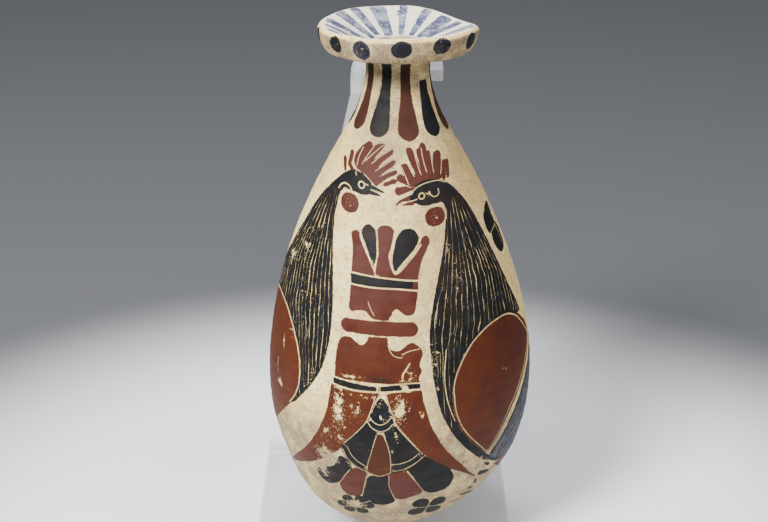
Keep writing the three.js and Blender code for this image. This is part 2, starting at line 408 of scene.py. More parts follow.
class Painting:
    """The bottle's paint as layers, one number for each vertex in each."""

    def __init__(self, points):
        self.points = points
        self.layers = {name: np.full(len(points), start) for name, start in LAYERS.items()}
        self.cut_near = np.full(len(points), FAR)

    def fill(self, colour, shape):
        chosen, distance = shape
        layer = self.layers[colour]
        layer[chosen] = np.minimum(layer[chosen], distance)

    def outline(self, colour, grow, outline):
        chosen, distance = outline_distance(self.points, outline)
        self.fill(colour, (chosen, distance - grow))

    def outlines(self, shapes):
        for shape in shapes:
            self.outline(*shape)

    def drop(self, colour, a, radius_a, b, radius_b):
        self.fill(colour, drop_distance(self.points, a, radius_a, b, radius_b))

    def drops(self, shapes):
        for shape in shapes:
            self.drop(*shape)

    def score(self, width, line):
        """A line cut through the paint to the clay. Its sides take the signs of the lines that it meets."""
        chosen, distance, on, gap = line_distance(self.points, line, width / 2)
        cut = self.layers["cut"]
        meets = (np.abs(gap - self.cut_near[chosen]) < 0.8) & (gap < 1.5)
        if (np.sign(distance[meets]) * np.sign(cut[chosen[meets]])).sum() < 0:
            distance = -distance
        nearer = gap < self.cut_near[chosen]
        use = chosen[nearer]
        self.cut_near[use] = gap[nearer]
        cut[use] = distance[nearer]
        self.layers["cut_on"][use] = on[nearer]

    def scores(self, lines):
        for width, line in lines:
            self.score(width, line)

    def away(self, middle, size):
        """How far each vertex is from a place, in shares of a size across and a size along the wall."""
        return np.linalg.norm((self.points - np.array(middle)) / np.array(size), axis=1)

    def keep_solid(self, middle, size):
        """No feather lines round a place."""
        self.layers["feather_on"] *= smooth_step((self.away(middle, size) - 1) * 4)

    def rub(self, middle, size, amount):
        """More wear round a place."""
        self.raise_layer("wear", amount * np.exp(-self.away(middle, size) ** 2))

    def stain(self, middle, size, amount):
        """Darker, olive paint round a place."""
        self.raise_layer("dark", amount * np.exp(-self.away(middle, size) ** 4))

    def raise_layer(self, name, amounts):
        self.layers[name] = np.maximum(self.layers[name], amounts)

    def comb_lines(self, shape, count, gap, margin):
        """Cuts long feather lines inside a shape: count is a coordinate whose whole numbers are lines."""
        chosen, distance = shape
        feather_on = self.layers["feather_on"]
        on = smooth_step((-distance - margin) / 0.6)
        use = (on > 0) | (feather_on[chosen] == 0)
        self.layers["feather"][chosen[use]] = count[chosen[use]]
        self.layers["feather_gap"][chosen[use]] = gap[chosen[use]]
        feather_on[chosen[use]] = on[use]


# The cocks. Outlines are (x, s): across from the front's middle, and along the wall from the widest place

HACKLE_RIGHT = [(5, 91.5), (6.5, 94.3), (9, 96.2), (12.5, 96.8), (17, 96.2), (22, 93.4), (27, 89),
    (31.5, 84), (36, 77.5), (40.5, 70), (45, 62.5), (50, 54.5), (55, 47), (60, 40.5), (65, 34), (65, 34),
    (60, 34.6), (54, 37), (48, 38.1), (41, 37.6), (34, 34.9), (28, 30.3), (23.8, 24.7), (21.4, 18),
    (20.6, 11), (21.4, 4), (23.6, -2.5), (27.6, -9), (32.6, -14.8), (37.6, -19.8), (41.5, -24.5),
    (41.5, -24.5), (37, -22.3), (30.5, -16.2), (24.6, -9.2), (19.6, -1.2), (16.2, 7), (14.1, 16),
    (12.9, 25), (12, 33), (12.3, 41), (13.8, 50), (16, 60), (18.2, 70), (19.5, 79), (19.6, 85), (18, 88),
    (14.5, 88), (10.5, 87.6), (7.2, 88.6), (5.2, 90)]
WING_RIGHT = [(22, 11), (22.7, 18), (25, 24), (29, 29.3), (35, 33.8), (41.5, 36.5), (48, 37), (54, 35.9),
    (60, 33.5), (66, 30), (72, 25.5), (76, 21.5), (76, 21.5), (71, 16), (65, 9.7), (58, 2.4), (51, -5),
    (45, -12), (39, -19), (39, -19), (34.4, -14.8), (29.5, -9.4), (25.4, -3.4), (22.8, 4)]
HACKLE_LEFT = [(-10.6, 94.6), (-12.2, 97), (-15, 99), (-18.5, 99.6), (-23, 97.8), (-28, 94.2), (-33, 90.3),
    (-38, 86), (-44, 79.8), (-50, 73), (-56.5, 66.3), (-63, 60), (-70, 54.8), (-77, 50.5), (-85, 46.5),
    (-92, 42), (-92, 42), (-86, 40.6), (-78, 40.2), (-70, 41.2), (-63, 41.2), (-56.3, 38.8), (-50.6, 33.9),
    (-46.5, 27.6), (-44.4, 21), (-44.2, 14), (-45.7, 7.8), (-49, 3.4), (-52, 0), (-52, 0), (-48.5, 2),
    (-44.5, 6), (-40, 10.8), (-36, 16), (-33, 21.5), (-30.8, 28), (-29.2, 36), (-28.3, 46), (-28.4, 57),
    (-28.8, 68), (-28.6, 78), (-27.2, 85.5), (-25.6, 90.5), (-21.5, 92.4), (-17, 91.8), (-13.5, 91.4),
    (-11, 92.6)]
WING_LEFT = [(-45.9, 14.2), (-46, 20.4), (-48, 26.8), (-51.8, 32.5), (-57.2, 37), (-63.4, 39.6),
    (-70, 39.8), (-77, 38.8), (-85, 36.5), (-93, 32.5), (-101, 27), (-108, 21), (-108, 21), (-102, 13),
    (-95, 3.5), (-88, -6), (-82, -14), (-77, -21), (-77, -21), (-71, -16), (-64, -10), (-57, -4),
    (-51, 1.4), (-47.4, 7)]
# The two edges of each hackle, between which its feather lines fan out
RIGHT_INNER = [(24, -30), (17, -9), (14, 7), (12.6, 20), (12, 33), (13.8, 50), (17, 62), (19, 74), (20, 86)]
RIGHT_OUTER = [(48, -30), (50, 10), (54, 38), (50, 54.5), (40.5, 70), (33, 82), (28, 90)]
LEFT_INNER = [(-37, -2), (-34, 10.8), (-31.4, 21.5), (-29.2, 36), (-28.4, 57), (-28.6, 78), (-27, 88)]
LEFT_OUTER = [(-50, -2), (-56, 15), (-66, 42), (-62, 60), (-50, 73), (-37, 88)]
HACKLE_LINES = 15

# The combs: a fan of fingers on a common root, the fingers that stand apart and the cuts between them
COMB_LEFT = [(-8.6, 94.9), (-10.4, 96.3), (-13.2, 98.8), (-16.4, 100.2), (-18.8, 102.7), (-18.6, 105.6),
    (-16.8, 108.4), (-13.6, 111.2), (-11.6, 112.6), (-10.4, 112), (-9.8, 110.6), (-7.6, 111.9),
    (-5.2, 112.1), (-5.4, 110.8), (-8, 107.6), (-9.6, 105.4), (-9.6, 105.4), (-6.4, 107.6), (-2.4, 109.8),
    (-1.9, 109), (-2.6, 107.6), (-6, 104.6), (-8.4, 101.6), (-8.4, 101.6), (-5, 103.8), (-1.6, 105.6),
    (-1, 104.8), (-2, 103.2), (-5, 101), (-7.4, 98.8), (-7.4, 98.8), (-4.2, 100.4), (-1, 101.6),
    (-0.3, 101), (-0.9, 99.8), (-4, 98.4), (-6.6, 96.4)]
COMB_RIGHT = [(6, 93.8), (5.2, 95.8), (3, 98.4), (1.3, 101.6), (0.9, 103.3), (2, 104.2), (3.6, 103.8),
    (5.6, 100.8), (6.6, 99.4), (6.6, 99.4), (6, 101.4), (4.4, 105), (3, 109), (3.2, 110.4), (4.8, 110.5),
    (6.2, 108.6), (7.4, 105.4), (8.6, 102), (8.6, 102), (8.2, 104.6), (7.4, 107.4), (7.2, 109.6),
    (8.2, 110.2), (8.9, 111.8), (10, 112), (11.2, 110.4), (11.8, 108.6), (12.8, 108.9), (13.6, 107.4),
    (13.7, 104), (13.9, 101), (13.9, 101), (14.2, 104), (14.6, 107), (16, 107.9), (18, 107.6), (18.8, 105),
    (18.6, 101), (18.4, 97), (16.4, 96.8), (12.1, 96.6), (8.6, 95.6)]
COMB_LOBES = [((-19.2, 99.8), 0.8, (-21.3, 101.8), 1.0), ((-21.3, 101.8), 1.0, (-20.4, 106.2), 1.3),
    ((-23.4, 99.4), 0.8, (-24.5, 103.2), 1.2), ((-5.2, 95.8), 0.8, (-1.6, 97.2), 1.0),
    ((5.6, 94.6), 0.9, (0.2, 93.4), 1.7), ((5.8, 96.0), 1.1, (0.9, 98.4), 1.6),
    ((19.4, 96.8), 0.9, (20.0, 102.6), 1.1), ((21.6, 97.0), 0.8, (21.9, 102.4), 1.2)]
COMB_CUTS = [[(-9, 100.9), (-5.4, 103.4), (-1.5, 106.2)], [(-10.5, 103.7), (-6.8, 106.9), (-2.6, 109.8)],
    [(-12.9, 104.7), (-9.4, 108.2), (-5.6, 111.6)], [(-14.8, 103), (-12.2, 107), (-8.8, 111.6)],
    [(-17.4, 101.9), (-16.4, 105.6), (-14.5, 109.6)], [(3.9, 96.2), (2.7, 99.4), (1.2, 102.9)],
    [(6.2, 99.1), (4.3, 102.6), (2.9, 106.4)], [(9, 99.4), (7.4, 104), (6.2, 109)],
    [(11.4, 100.2), (10, 105), (9.2, 109.8)], [(14.5, 99.8), (13.8, 104), (13.2, 108.2)],
    [(17.8, 98.7), (18.5, 102), (18.7, 105)], [(-5.6, 96.9), (-3.4, 97.8), (-0.8, 99)],
    [(4.8, 94.8), (2.4, 95.6), (-0.4, 96.2)]]

# The heads: round-ended strokes as (colour, place, radius, place, radius)
HEAD_STROKES = [
    # The left cock's open beak
    ("black", (-10.4, 94.2), 1.1, (-5.6, 92.6), 0.35),
    ("black", (-11, 92.2), 0.9, (-7.4, 91.4), 0.4),
    # The right cock's open beak
    ("red", (5.8, 91.0), 1.3, (1.0, 89.6), 0.6),
    ("red", (1.0, 89.6), 0.6, (-0.9, 87.9), 0.4),
    ("red", (5.6, 88.6), 0.9, (1.6, 88.0), 0.35),
    # Wattles
    ("red", (14.0, 82.5), 3.75, (15.2, 82.5), 3.75),
    ("red", (-21.1, 86.9), 3.8, (-19.9, 86.9), 3.8)]
# Scored lines as (width, places)
HEAD_CUTS = [
    # The left beak
    (0.55, [(-10.8, 93.3), (-8.8, 92.9), (-6.6, 92.3)]),
    (0.4, [(-10.6, 95.5), (-9, 94.8), (-6, 93.6)]),
    # The right beak
    (0.5, [(0.2, 88.3), (2.4, 88.9), (5.6, 89.5), (7.2, 90.0)]),
    # Skulls
    (0.5, [(5.0, 92.0), (6.2, 93.8), (8.6, 95.3), (12.1, 96.2), (16.4, 96.3), (20, 95.0)]),
    (0.6, [(-17.6, 99.6), (-17.4, 98.2)]),
    # The left cheek, brow and ear
    (0.5, [(-13.6, 95.4), (-12.2, 94.9)]),
    (0.7, [(-26.5, 91.4), (-25.3, 93.0), (-23.6, 93.9), (-21.6, 93.8), (-19.9, 92.6), (-19.6, 91)]),
    (0.6, [(-24, 91.2), (-23.2, 92), (-22, 91.9), (-21.4, 90.9)]),
    # The right ear
    (0.55, [(12.3, 92.6), (12.9, 91.2), (14.2, 90.3), (15.6, 90.4), (16.5, 91.5), (16.2, 93.0)]),
    (0.5, [(10.9, 92.0), (11.6, 91.7), (12.3, 92.6)]),
    # Beside the wattles
    (0.6, [(18.8, 85.6), (19.5, 84), (19.4, 81)]),
    (0.6, [(-25.2, 90), (-25, 87.4), (-25.2, 85)])]


def hackle_lines(painting, outline, inner, outer):
    """Feather lines that fan down a hackle, between its inner and its outer edge."""
    x, s = painting.points.T
    inner, outer = np.array(inner), np.array(outer)
    inside = np.interp(s, inner[:, 1], inner[:, 0])
    outside = np.interp(s, outer[:, 1], outer[:, 0])
    gap = np.abs(outside - inside) / HACKLE_LINES
    count = (x - inside) / (outside - inside) * HACKLE_LINES
    painting.comb_lines(outline_distance(painting.points, outline), count, gap, 0.25)


def paint_cocks(painting):
    for hackle, wing, inner, outer in ((HACKLE_RIGHT, WING_RIGHT, RIGHT_INNER, RIGHT_OUTER),
                                       (HACKLE_LEFT, WING_LEFT, LEFT_INNER, LEFT_OUTER)):
        painting.outline("black", 0.5, hackle)
        painting.outline("red", 0.9, wing)
        hackle_lines(painting, hackle, inner, outer)
    # The heads and the hackle's lowest end have no feather lines
    painting.keep_solid((14, 91), (9.5, 6.2))
    painting.keep_solid((-18, 94.5), (12, 6.4))
    painting.keep_solid((30, -14), (12, 13))
    painting.drops(HEAD_STROKES)
    painting.scores(HEAD_CUTS)
    for comb in (COMB_LEFT, COMB_RIGHT):
        painting.outline("red", 0.0, comb)
    for lobe in COMB_LOBES:
        painting.drop("red", *lobe)
    for line in COMB_CUTS:
        painting.score(0.4, line)


# The upright plant between the cocks: shapes as (colour, how far they grow past the outline, outline)
LOTUS = [
    # The five petals, from the left
    ("red", 0.0, [(-17.5, 76.9), (-15.8, 76.4), (-15.6, 74.3), (-14, 70.7), (-12, 66.3), (-10.3, 62.5),
        (-9.4, 60.2), (-9.4, 60.2), (-9.5, 54), (-19.8, 54), (-19.8, 54), (-19.4, 60.4), (-19.1, 65.7),
        (-18.8, 70), (-19.3, 73), (-19.3, 75.9)]),
    ("black", 0.0, [(-11.3, 79.7), (-9.3, 78), (-8.9, 75.7), (-8.8, 72), (-8.7, 68.6), (-9.7, 64.4),
        (-10.4, 63.4), (-11.3, 66.4), (-12.5, 69.6), (-13.7, 72.5), (-14.7, 75), (-14.9, 77.2),
        (-13.4, 79.3)]),
    ("red", 0.0, [(-5.4, 80), (-2.9, 79.3), (-1.7, 77.1), (-2.1, 74.3), (-3.3, 70.7), (-4.1, 67.9),
        (-3.8, 65.5), (-2.9, 62.6), (-1.6, 60.6), (-1.6, 54), (-1.6, 54), (-10, 54), (-10, 54),
        (-9.3, 62.3), (-8.6, 66.1), (-8.1, 68.6), (-8.3, 72), (-8.5, 76.4), (-8.2, 78.4), (-7.2, 79.5)]),
    ("black", 0.0, [(3.7, 78.8), (6.1, 78), (7.6, 75.7), (7.5, 73.6), (6.3, 71.2), (4.1, 68.6),
        (1.8, 66.1), (-0.4, 63.5), (-1.6, 62.2), (-2.4, 63.2), (-2.7, 65.7), (-2.5, 68.6), (-1.9, 71.4),
        (-1.2, 74.3), (0, 76.8), (1.8, 78.3)]),
    ("red", 0.0, [(10.4, 75.6), (11.8, 74.6), (11.9, 72.6), (11.1, 70.8), (9.9, 68.4), (8.9, 66.4),
        (8.2, 63.6), (7.5, 60.4), (7.1, 54), (7.1, 54), (-2, 54), (-2, 54), (-2, 60.6), (0.4, 62.7),
        (3.4, 66.1), (6, 69.4), (7.9, 72.6), (9, 74.8)]),
    # The first band and the block below it
    ("black", 0.0, [(-19.8, 60.1), (-19.8, 60.1), (-9.3, 59.4), (5.1, 58.3), (5.1, 58.3), (5.1, 55.4),
        (5.1, 55.4), (-8.6, 55.7), (-19.6, 56.3), (-19.6, 56.3)]),
    ("red", 0.0, [(-19.8, 55.4), (-19.8, 55.4), (-20.1, 50.7), (-20.7, 47.1), (-19.3, 45.3), (-17.1, 45.9),
        (-14.6, 46.1), (-12.9, 45.4), (-11.8, 43.9), (-9.3, 42.9), (-5, 42.7), (-4.3, 43.9), (-3.3, 44.9),
        (-2.9, 46.4), (-1.4, 47.3), (0, 46.4), (1.8, 45), (4.3, 44.9), (5.7, 46.1), (6.4, 49.3),
        (7.1, 54.6), (7.1, 54.6), (-6, 55.4)]),
    # The second block and band
    ("red", 0.0, [(-27, 18), (-27, 18), (-26.6, 24.3), (-25.9, 29.3), (-25.1, 32.5), (-24.3, 34.1),
        (-22.1, 35.2), (-19.6, 35), (-17.5, 33.4), (-16.1, 32.5), (-14.6, 32.9), (-13, 34.6),
        (-12.6, 36.2), (-12.6, 36.2), (-4.9, 36.2), (-4.9, 36.2), (-4.6, 33), (-3.6, 31.4), (-1.4, 30.9),
        (0.7, 31.8), (2.9, 33.6), (4.7, 34.3), (6.4, 33.2), (8.2, 31.4), (8.8, 29.3), (7.6, 25.6),
        (8.4, 22.5), (7.3, 19.8), (7.9, 18), (7.9, 18), (-8, 17.6)]),
    ("black", 0.0, [(-27.6, 17.9), (-27.6, 17.9), (-20, 17), (-9.8, 16.3), (0.6, 17.6), (8, 17.8),
        (8, 17.8), (7.9, 15.9), (7.9, 15.9), (0.7, 15.2), (-9, 14.3), (-19.3, 14.3), (-27.6, 15.4),
        (-27.6, 15.4)])]
LOTUS_CUTS = [
    # Between the petals
    (0.55, [(-8.9, 79), (-8.5, 76), (-8.4, 70), (-9, 66), (-9.9, 62.6), (-9.4, 60.2)]),
    (0.6, [(-15.4, 75.6), (-13.8, 71.2), (-12, 67.2), (-10.5, 63.2)]),
    (0.8, [(-1.5, 77.6), (-2.3, 73.4), (-3.4, 68.6), (-3.1, 64.6), (-2, 61.4), (-0.6, 61.6), (2.2, 64.4),
        (5.6, 68.4), (8.4, 72.2)]),
    # Along the first band
    (0.8, [(-19.8, 60.4), (-14.6, 60), (-9.3, 59.6), (-2.5, 59.1), (2.9, 58.6), (7.5, 58.3)]),
    (0.8, [(-19.9, 56.0), (-14.3, 55.6), (-8.6, 55.4), (-1.4, 55.3), (2.9, 54.9), (7.4, 54.4)]),
    # On the two blocks
    (0.35, [(-12.6, 49.6), (-11.6, 47), (-10.2, 44.6)]),
    (0.35, [(-4.8, 33.2), (-4.2, 31), (-2.6, 29), (0.2, 28.2)]),
    (0.4, [(0.8, 29.6), (3.4, 30.8), (7.4, 31.6)]),
    (0.8, [(3.6, 26), (2.2, 23.6), (0.9, 21.4), (0.9, 19)]),
    # Along and across the second band
    (0.6, [(-27.4, 18.2), (-20, 17.2), (-12, 16.8), (-9.3, 16.4), (-6.4, 17), (0.7, 17.8), (8.2, 18.1)]),
    (0.8, [(-27.6, 15), (-19.3, 13.9), (-10, 14), (-4, 14.3), (0.7, 14.9), (3.4, 15.4)]),
    (1.6, [(2.0, 18), (1.4, 16.4), (2.8, 14.6)]),
    (0.9, [(-9.2, 17.2), (-9.0, 14.2)])]


def paint_lotus(painting):
    """From the plant's top down to the palmette."""
    painting.outlines(LOTUS)
    painting.drop("red", (-21.3, 39.7), 2.8, (4.1, 39.4), 2.9)
    painting.scores(LOTUS_CUTS)
    painting.stain((-8, 18.9), (4.6, 1.3), 0.85)


# The calyx leaves that sweep to the sides and the palmette that hangs between them
PALMETTE = [
    # The calyx
    ("red", 0.4, [(-28.2, 14.6), (-28.2, 14.6), (-18, 13.6), (-8.4, 13.8), (-8.4, 13.8), (-10.2, 10),
        (-12.2, 4), (-13.8, 0.6), (-18, -4.6), (-23, -10), (-26, -14), (-33, -20), (-40, -25), (-44, -27),
        (-49, -30), (-58.5, -35), (-58.5, -35), (-54, -30), (-49, -25), (-44, -20), (-39.5, -14.5),
        (-36, -9), (-33.8, -5), (-31.5, 0), (-30, 5), (-29, 10)]),
    ("red", 0.5, [(8, 14.6), (8, 14.6), (9, 9), (10.5, 4), (12, -1), (14, -5), (16.5, -10), (20, -15),
        (24, -20), (27, -24), (30, -28), (33, -31), (33, -31), (28, -26.8), (24, -24.2), (19, -21.2),
        (14, -17.2), (10, -13.2), (6, -8.2), (3, -4.2), (0.4, -1), (-3, 5), (-5.6, 13.4), (-5.6, 13.4),
        (1, 14)]),
    # The bud and the inner petals
    ("black", 0.2, [(-7.6, 11.6), (-5.6, 9.6), (-4, 5.6), (-2.6, 1.6), (-4.6, -1.4), (-8, -2.8),
        (-11.2, -1.4), (-12.9, 1.4), (-11.2, 5.2), (-9.6, 9.4)]),
    ("black", 0.55, [(-13.6, 0.4), (-12.4, -0.8), (-11.3, -2.2), (-9.6, -3.6), (-10.3, -7), (-11.8, -12),
        (-13.2, -18), (-13.7, -23), (-13.7, -23), (-18.2, -20.2), (-21.4, -17), (-23.4, -12.6),
        (-23, -10.4), (-18, -4.9)]),
    ("black", 0.55, [(-2.4, -1), (-4.8, -2.6), (-5.6, -4), (-4.2, -9), (-3.5, -15), (-3.7, -22.4),
        (-3.7, -22.4), (1.8, -20.8), (6, -18), (9, -15), (8.3, -12.8), (4.6, -8.8), (1, -4), (-1, -0.8)]),
    ("red", 0.55, [(-8, -4.2), (-9.5, -7), (-11, -13), (-12.5, -18), (-13, -22), (-10, -24.2), (-6, -24.2),
        (-4, -22), (-3.8, -18), (-4.2, -12), (-5.6, -7)]),
    # The outer petals, from the left
    ("black", 0.55, [(-24.6, -17), (-21.4, -19), (-20.2, -22.6), (-22.4, -25.6), (-24.6, -29.6),
        (-26.4, -32), (-30, -34.2), (-34, -32.7), (-36.4, -29), (-33.6, -26.4), (-28, -23.4),
        (-25.8, -20)]),
    ("red", 0.55, [(-14, -23.2), (-13.8, -26), (-14.8, -31), (-15, -36), (-16.7, -38.6), (-20, -38.8),
        (-23.6, -35.8), (-24.6, -32), (-23.4, -28.8), (-20.8, -24.2), (-18, -22)]),
    ("black", 0.55, [(-8, -24.6), (-4.7, -25.6), (-4.2, -32), (-2.6, -36), (-1.5, -40.2), (-5, -42.7),
        (-9, -42.4), (-13, -40.2), (-14, -36), (-13.5, -31), (-12.4, -25.8)]),
    ("red", 0.55, [(-4, -23), (-1, -22), (2, -21.4), (4, -25), (7, -30), (8.8, -34.4), (5, -36.6),
        (2, -38.2), (-1, -37.2), (-2.9, -34), (-4.4, -29)]),
    ("black", 0.55, [(3.4, -20), (6.6, -17.4), (10, -15), (14, -18.3), (19, -21.8), (21.6, -26),
        (21.6, -30), (19, -34), (14.5, -35.2), (10.5, -33.2), (8, -29), (5.4, -24)])]
PALMETTE_CUTS = [
    # The inner petals, the calyx and the bud
    (0.42, [(-9.4, -4.4), (-10.4, -8), (-11.6, -13), (-13, -18.6), (-13.4, -23)]),
    (0.42, [(-6.4, -5), (-5, -8.6), (-4.1, -13), (-3.7, -18), (-3.9, -23)]),
    (0.42, [(-12.7, 0.8), (-11.2, -1.3), (-8, -2.6), (-4.8, -1.4), (-3, 0.9)]),
    (0.42, [(-12, 3.2), (-10.6, 1.4), (-8, 0.3), (-5.4, 1.5), (-3.6, 3.8)]),
    (0.42, [(-10.2, 10.6), (-12.2, 4.6), (-13.9, 0.6), (-18.2, -4.8), (-23.2, -10.2)]),
    (0.42, [(-23.4, -12.8), (-21.6, -17), (-18.5, -20.1), (-13.6, -22.7)]),
    (0.42, [(-21.7, -11), (-20, -14.5), (-17, -17.9), (-13.4, -20)]),
    (0.42, [(-3.3, -21.9), (2, -20.2), (6, -17.6), (9.2, -14.6)]),
    (0.42, [(-3.4, -18), (0, -17.6), (4, -15.8), (7.4, -12.9)]),
    (0.42, [(-1.6, 0.2), (1, -3.4), (4.8, -8.2), (9, -13.2)]),
    (0.42, [(-5.6, 13), (-3.8, 7), (-1.8, 2.6)]),
    (0.42, [(-12.9, -23), (-8.4, -24.6), (-4, -22.6)]),
    (1.0, [(-7.9, 3.9), (-7.5, 2.6)]),
    # Between the outer petals
    (0.42, [(-20.6, -23.2), (-22.8, -26.8), (-25, -31.6)]),
    (0.42, [(-13.4, -24.4), (-13.9, -28), (-14.4, -32), (-14.6, -37)]),
    (0.42, [(-4.4, -25), (-4.3, -30), (-2.7, -34.6), (-1.2, -38)]),
    (0.42, [(2.6, -21.6), (4.8, -25), (7.4, -29.4), (9.8, -33.4)])]
# The wings' edges and the strip of hackle beside the right one
WING_CUTS = [
    (0.6, [(41, -22), (34.1, -14), (29.2, -8.3), (25.4, -2.6), (22.9, 3.8), (22, 10), (21.7, 15),
        (23.1, 20.3), (26.2, 26.4), (30, 31.1), (35.2, 34.6), (40.4, 36.4), (47.9, 37.1), (54.1, 35.8),
        (60.4, 32.8), (66, 28.6), (71, 24.6), (76.5, 20.6)]),
    (0.5, [(38.6, -19.6), (41.4, -16.6), (46.6, -10), (51.8, -3), (57.9, 3.1), (64.1, 10), (70.4, 16.4),
        (76.5, 22)]),
    (0.65, [(-52, 0), (-48.4, 4.2), (-45.7, 9.6), (-45, 14), (-45.2, 20.4), (-47.3, 27), (-51.2, 33),
        (-56.8, 37.9), (-63.4, 40.5), (-70, 40.8), (-78, 39.6), (-86, 37.4), (-96, 32)]),
    (0.5, [(22.4, 0), (20.4, 5), (18.6, 11), (17.6, 20), (18.2, 30)])]


def paint_palmette(painting):
    painting.outlines(PALMETTE)
    painting.scores(PALMETTE_CUTS)
    painting.stain((-8.5, -14), (5, 11), 0.5)


# Filler flowers: (middle, number of petals, radius, size of a petal, turn in degrees)
ROSETTES = [((13.6, -46.6), 4, 5.2, 3.7, 40), ((-16.8, -46.4), 6, 5.8, 2.7, 12),
    ((-112, 62), 5, 5.2, 3.2, 20), ((112, 64), 5, 5.2, 3.2, 0), ((96, -50), 4, 4.6, 3.2, 45),
    ((-98, -48), 4, 4.6, 3.2, 45)]
# Leaves at the right edge, beside the hackle
LEAVES = [
    ("black", 0.7, [(45.4, 78.8), (50, 79.6), (52, 77.4), (51.8, 75.2), (47.4, 77)]),
    ("black", 0.7, [(44.6, 77.4), (43.1, 76.6), (43, 74), (44.6, 70.8), (46.6, 69.5), (52, 70.4),
        (53.6, 71.8), (50.8, 75), (47, 76.6)]),
    ("black", 0.7, [(54, 70.4), (47.9, 69), (48.3, 65.4), (51.6, 61.6), (55.9, 60.2), (60.3, 61.5),
        (59.9, 64.6), (57.8, 68)])]
LEAF_CUTS = [
    (0.3, [(45.8, 69.1), (49.8, 70), (53.8, 70.6)]),
    (0.3, [(53.8, 69.9), (56.6, 66.2), (58.5, 61.8)])]
# Worn marks left of the feet, low on the right
MARKS = [
    ("black", (36.4, -30.8), 1.5, (41, -32), 1.2),
    ("black", (34.6, -34.6), 0.9, (35, -37.4), 0.5),
    ("black", (32.6, -39.6), 1.1, (34, -40), 0.9),
    ("black", (28.6, -43), 0.7, (34, -44.6), 1.3),
    ("black", (34, -44.6), 1.3, (42, -49.6), 0.7),
    ("black", (24.6, -46.6), 0.5, (30, -48.4), 0.8),
    ("black", (38, -25.4), 0.5, (40.6, -27.4), 0.9)]


def rosette(painting, middle, petals, radius, petal, turn):
    """A round filler flower, with a cut between one petal and the next."""
    middle = np.array(middle)
    for k in range(petals):
        a = math.radians(turn + 360 * k / petals)
        towards = np.array((math.cos(a), math.sin(a)))
        painting.drop("black", middle + 0.3 * radius * towards, petal * 0.5, middle + radius * towards, petal)
        b = a + math.pi / petals
        out = (radius + petal * 0.8) * np.array((math.cos(b), math.sin(b)))
        painting.score(0.55, [middle, middle + out * 0.5, middle + out])


def paint_fillers(painting):
    for flower in ROSETTES:
        rosette(painting, *flower)
    painting.outlines(LEAVES)
    painting.scores(LEAF_CUTS)
    painting.drops(MARKS)


# Round the sides: the cocks' flight feathers and bodies
FLIGHT_FEATHER = math.radians(6.5)
FLIGHT_PALE = 0.22
FLIGHT_RIGHT = [(41, -22.6), (41, -22.6), (50, -14), (60, -3), (70, 8), (79, 17.5), (79, 17.5), (88, 12),
    (95, 1), (92, -11), (80, -21), (62, -27), (48, -27)]
FLIGHT_LEFT = [(-79, -25), (-79, -25), (-86, -15), (-94, -4), (-102, 7), (-110, 17.5), (-110, 17.5),
    (-119, 11), (-126, 0), (-124, -12), (-112, -22), (-97, -28), (-85, -29)]
BODIES = [
    ("red", 0.0, [(44, -29), (44, -29), (60, -30), (78, -25), (93, -13), (99, 2), (93, 14), (84, 21),
        (84, 21), (92, 24), (104, 17), (112, 3), (108, -14), (95, -29), (76, -38), (58, -39)]),
    ("red", 0.0, [(-82, -32), (-82, -32), (-96, -32), (-112, -26), (-127, -13), (-131, 0), (-126, 13),
        (-116, 21), (-116, 21), (-124, 22), (-136, 14), (-142, 1), (-138, -15), (-126, -29), (-110, -38),
        (-92, -39)])]
LEG_LOW = -38
FOOT_LOW = -47
HIPS = [(1, 58), (-1, -94)]
TAILS = [(1, (137.0, -2.0)), (-1, (-152.0, -2.0))]


def paint_flight(painting, shape, tip, side):
    """Flight feathers that spread like a fan from a tip below the wing."""
    rel = painting.points - np.array(tip)
    angle = np.arctan2(rel[:, 1], side * rel[:, 0])
    chosen, distance = outline_distance(painting.points, shape)
    painting.comb_lines((chosen, distance), angle / FLIGHT_FEATHER + 0.5,
                        np.linalg.norm(rel, axis=1) * FLIGHT_FEATHER, 0.6)
    pale = painting.layers["pale"]
    pale[chosen] = np.maximum(pale[chosen], FLIGHT_PALE * smooth_step(0.5 - distance))


def paint_tail(painting, side, middle):
    """Sickle feathers that rise and hook down, one colour after the other."""
    for k in range(4):
        radius = 7.5 + 6.2 * k
        angles = np.radians(np.linspace(200, -30 + 6 * k, 22))
        ring = [(middle[0] + side * radius * math.cos(a) * 0.86, middle[1] + radius * 1.25 * math.sin(a))
                for a in angles]
        for n in range(len(ring) - 1):
            taper = 2.3 * min(1.0, (len(ring) - 1 - n) / 8)
            painting.drop("black" if k % 2 else "red", ring[n], max(taper, 0.4), ring[n + 1],
                          max(taper - 0.2, 0.4))


def paint_legs(painting, side, hip):
    """Two legs, each with a foot of three toes."""
    for k in range(2):
        knee = (hip + side * 12 * k, LEG_LOW)
        foot = (knee[0] - side * 9, FOOT_LOW + 2 * k)
        painting.drop("black", knee, 1.3, foot, 0.9)
        for toe in (-7, -5, 3):
            painting.drop("black", foot, 0.8, (foot[0] + side * toe, foot[1] - 4), 0.4)


def paint_bodies(painting):
    """What lies round the sides: the cocks' flight feathers, bodies, legs and tails."""
    painting.outline("black", 1.6, FLIGHT_RIGHT)
    painting.outline("black", 0.0, FLIGHT_LEFT)
    paint_flight(painting, FLIGHT_RIGHT, (30, -34), 1)
    paint_flight(painting, FLIGHT_LEFT, (-68, -37), -1)
    painting.outlines(BODIES)
    for side, hip in HIPS:
        paint_legs(painting, side, hip)
    for side, middle in TAILS:
        paint_tail(painting, side, middle)


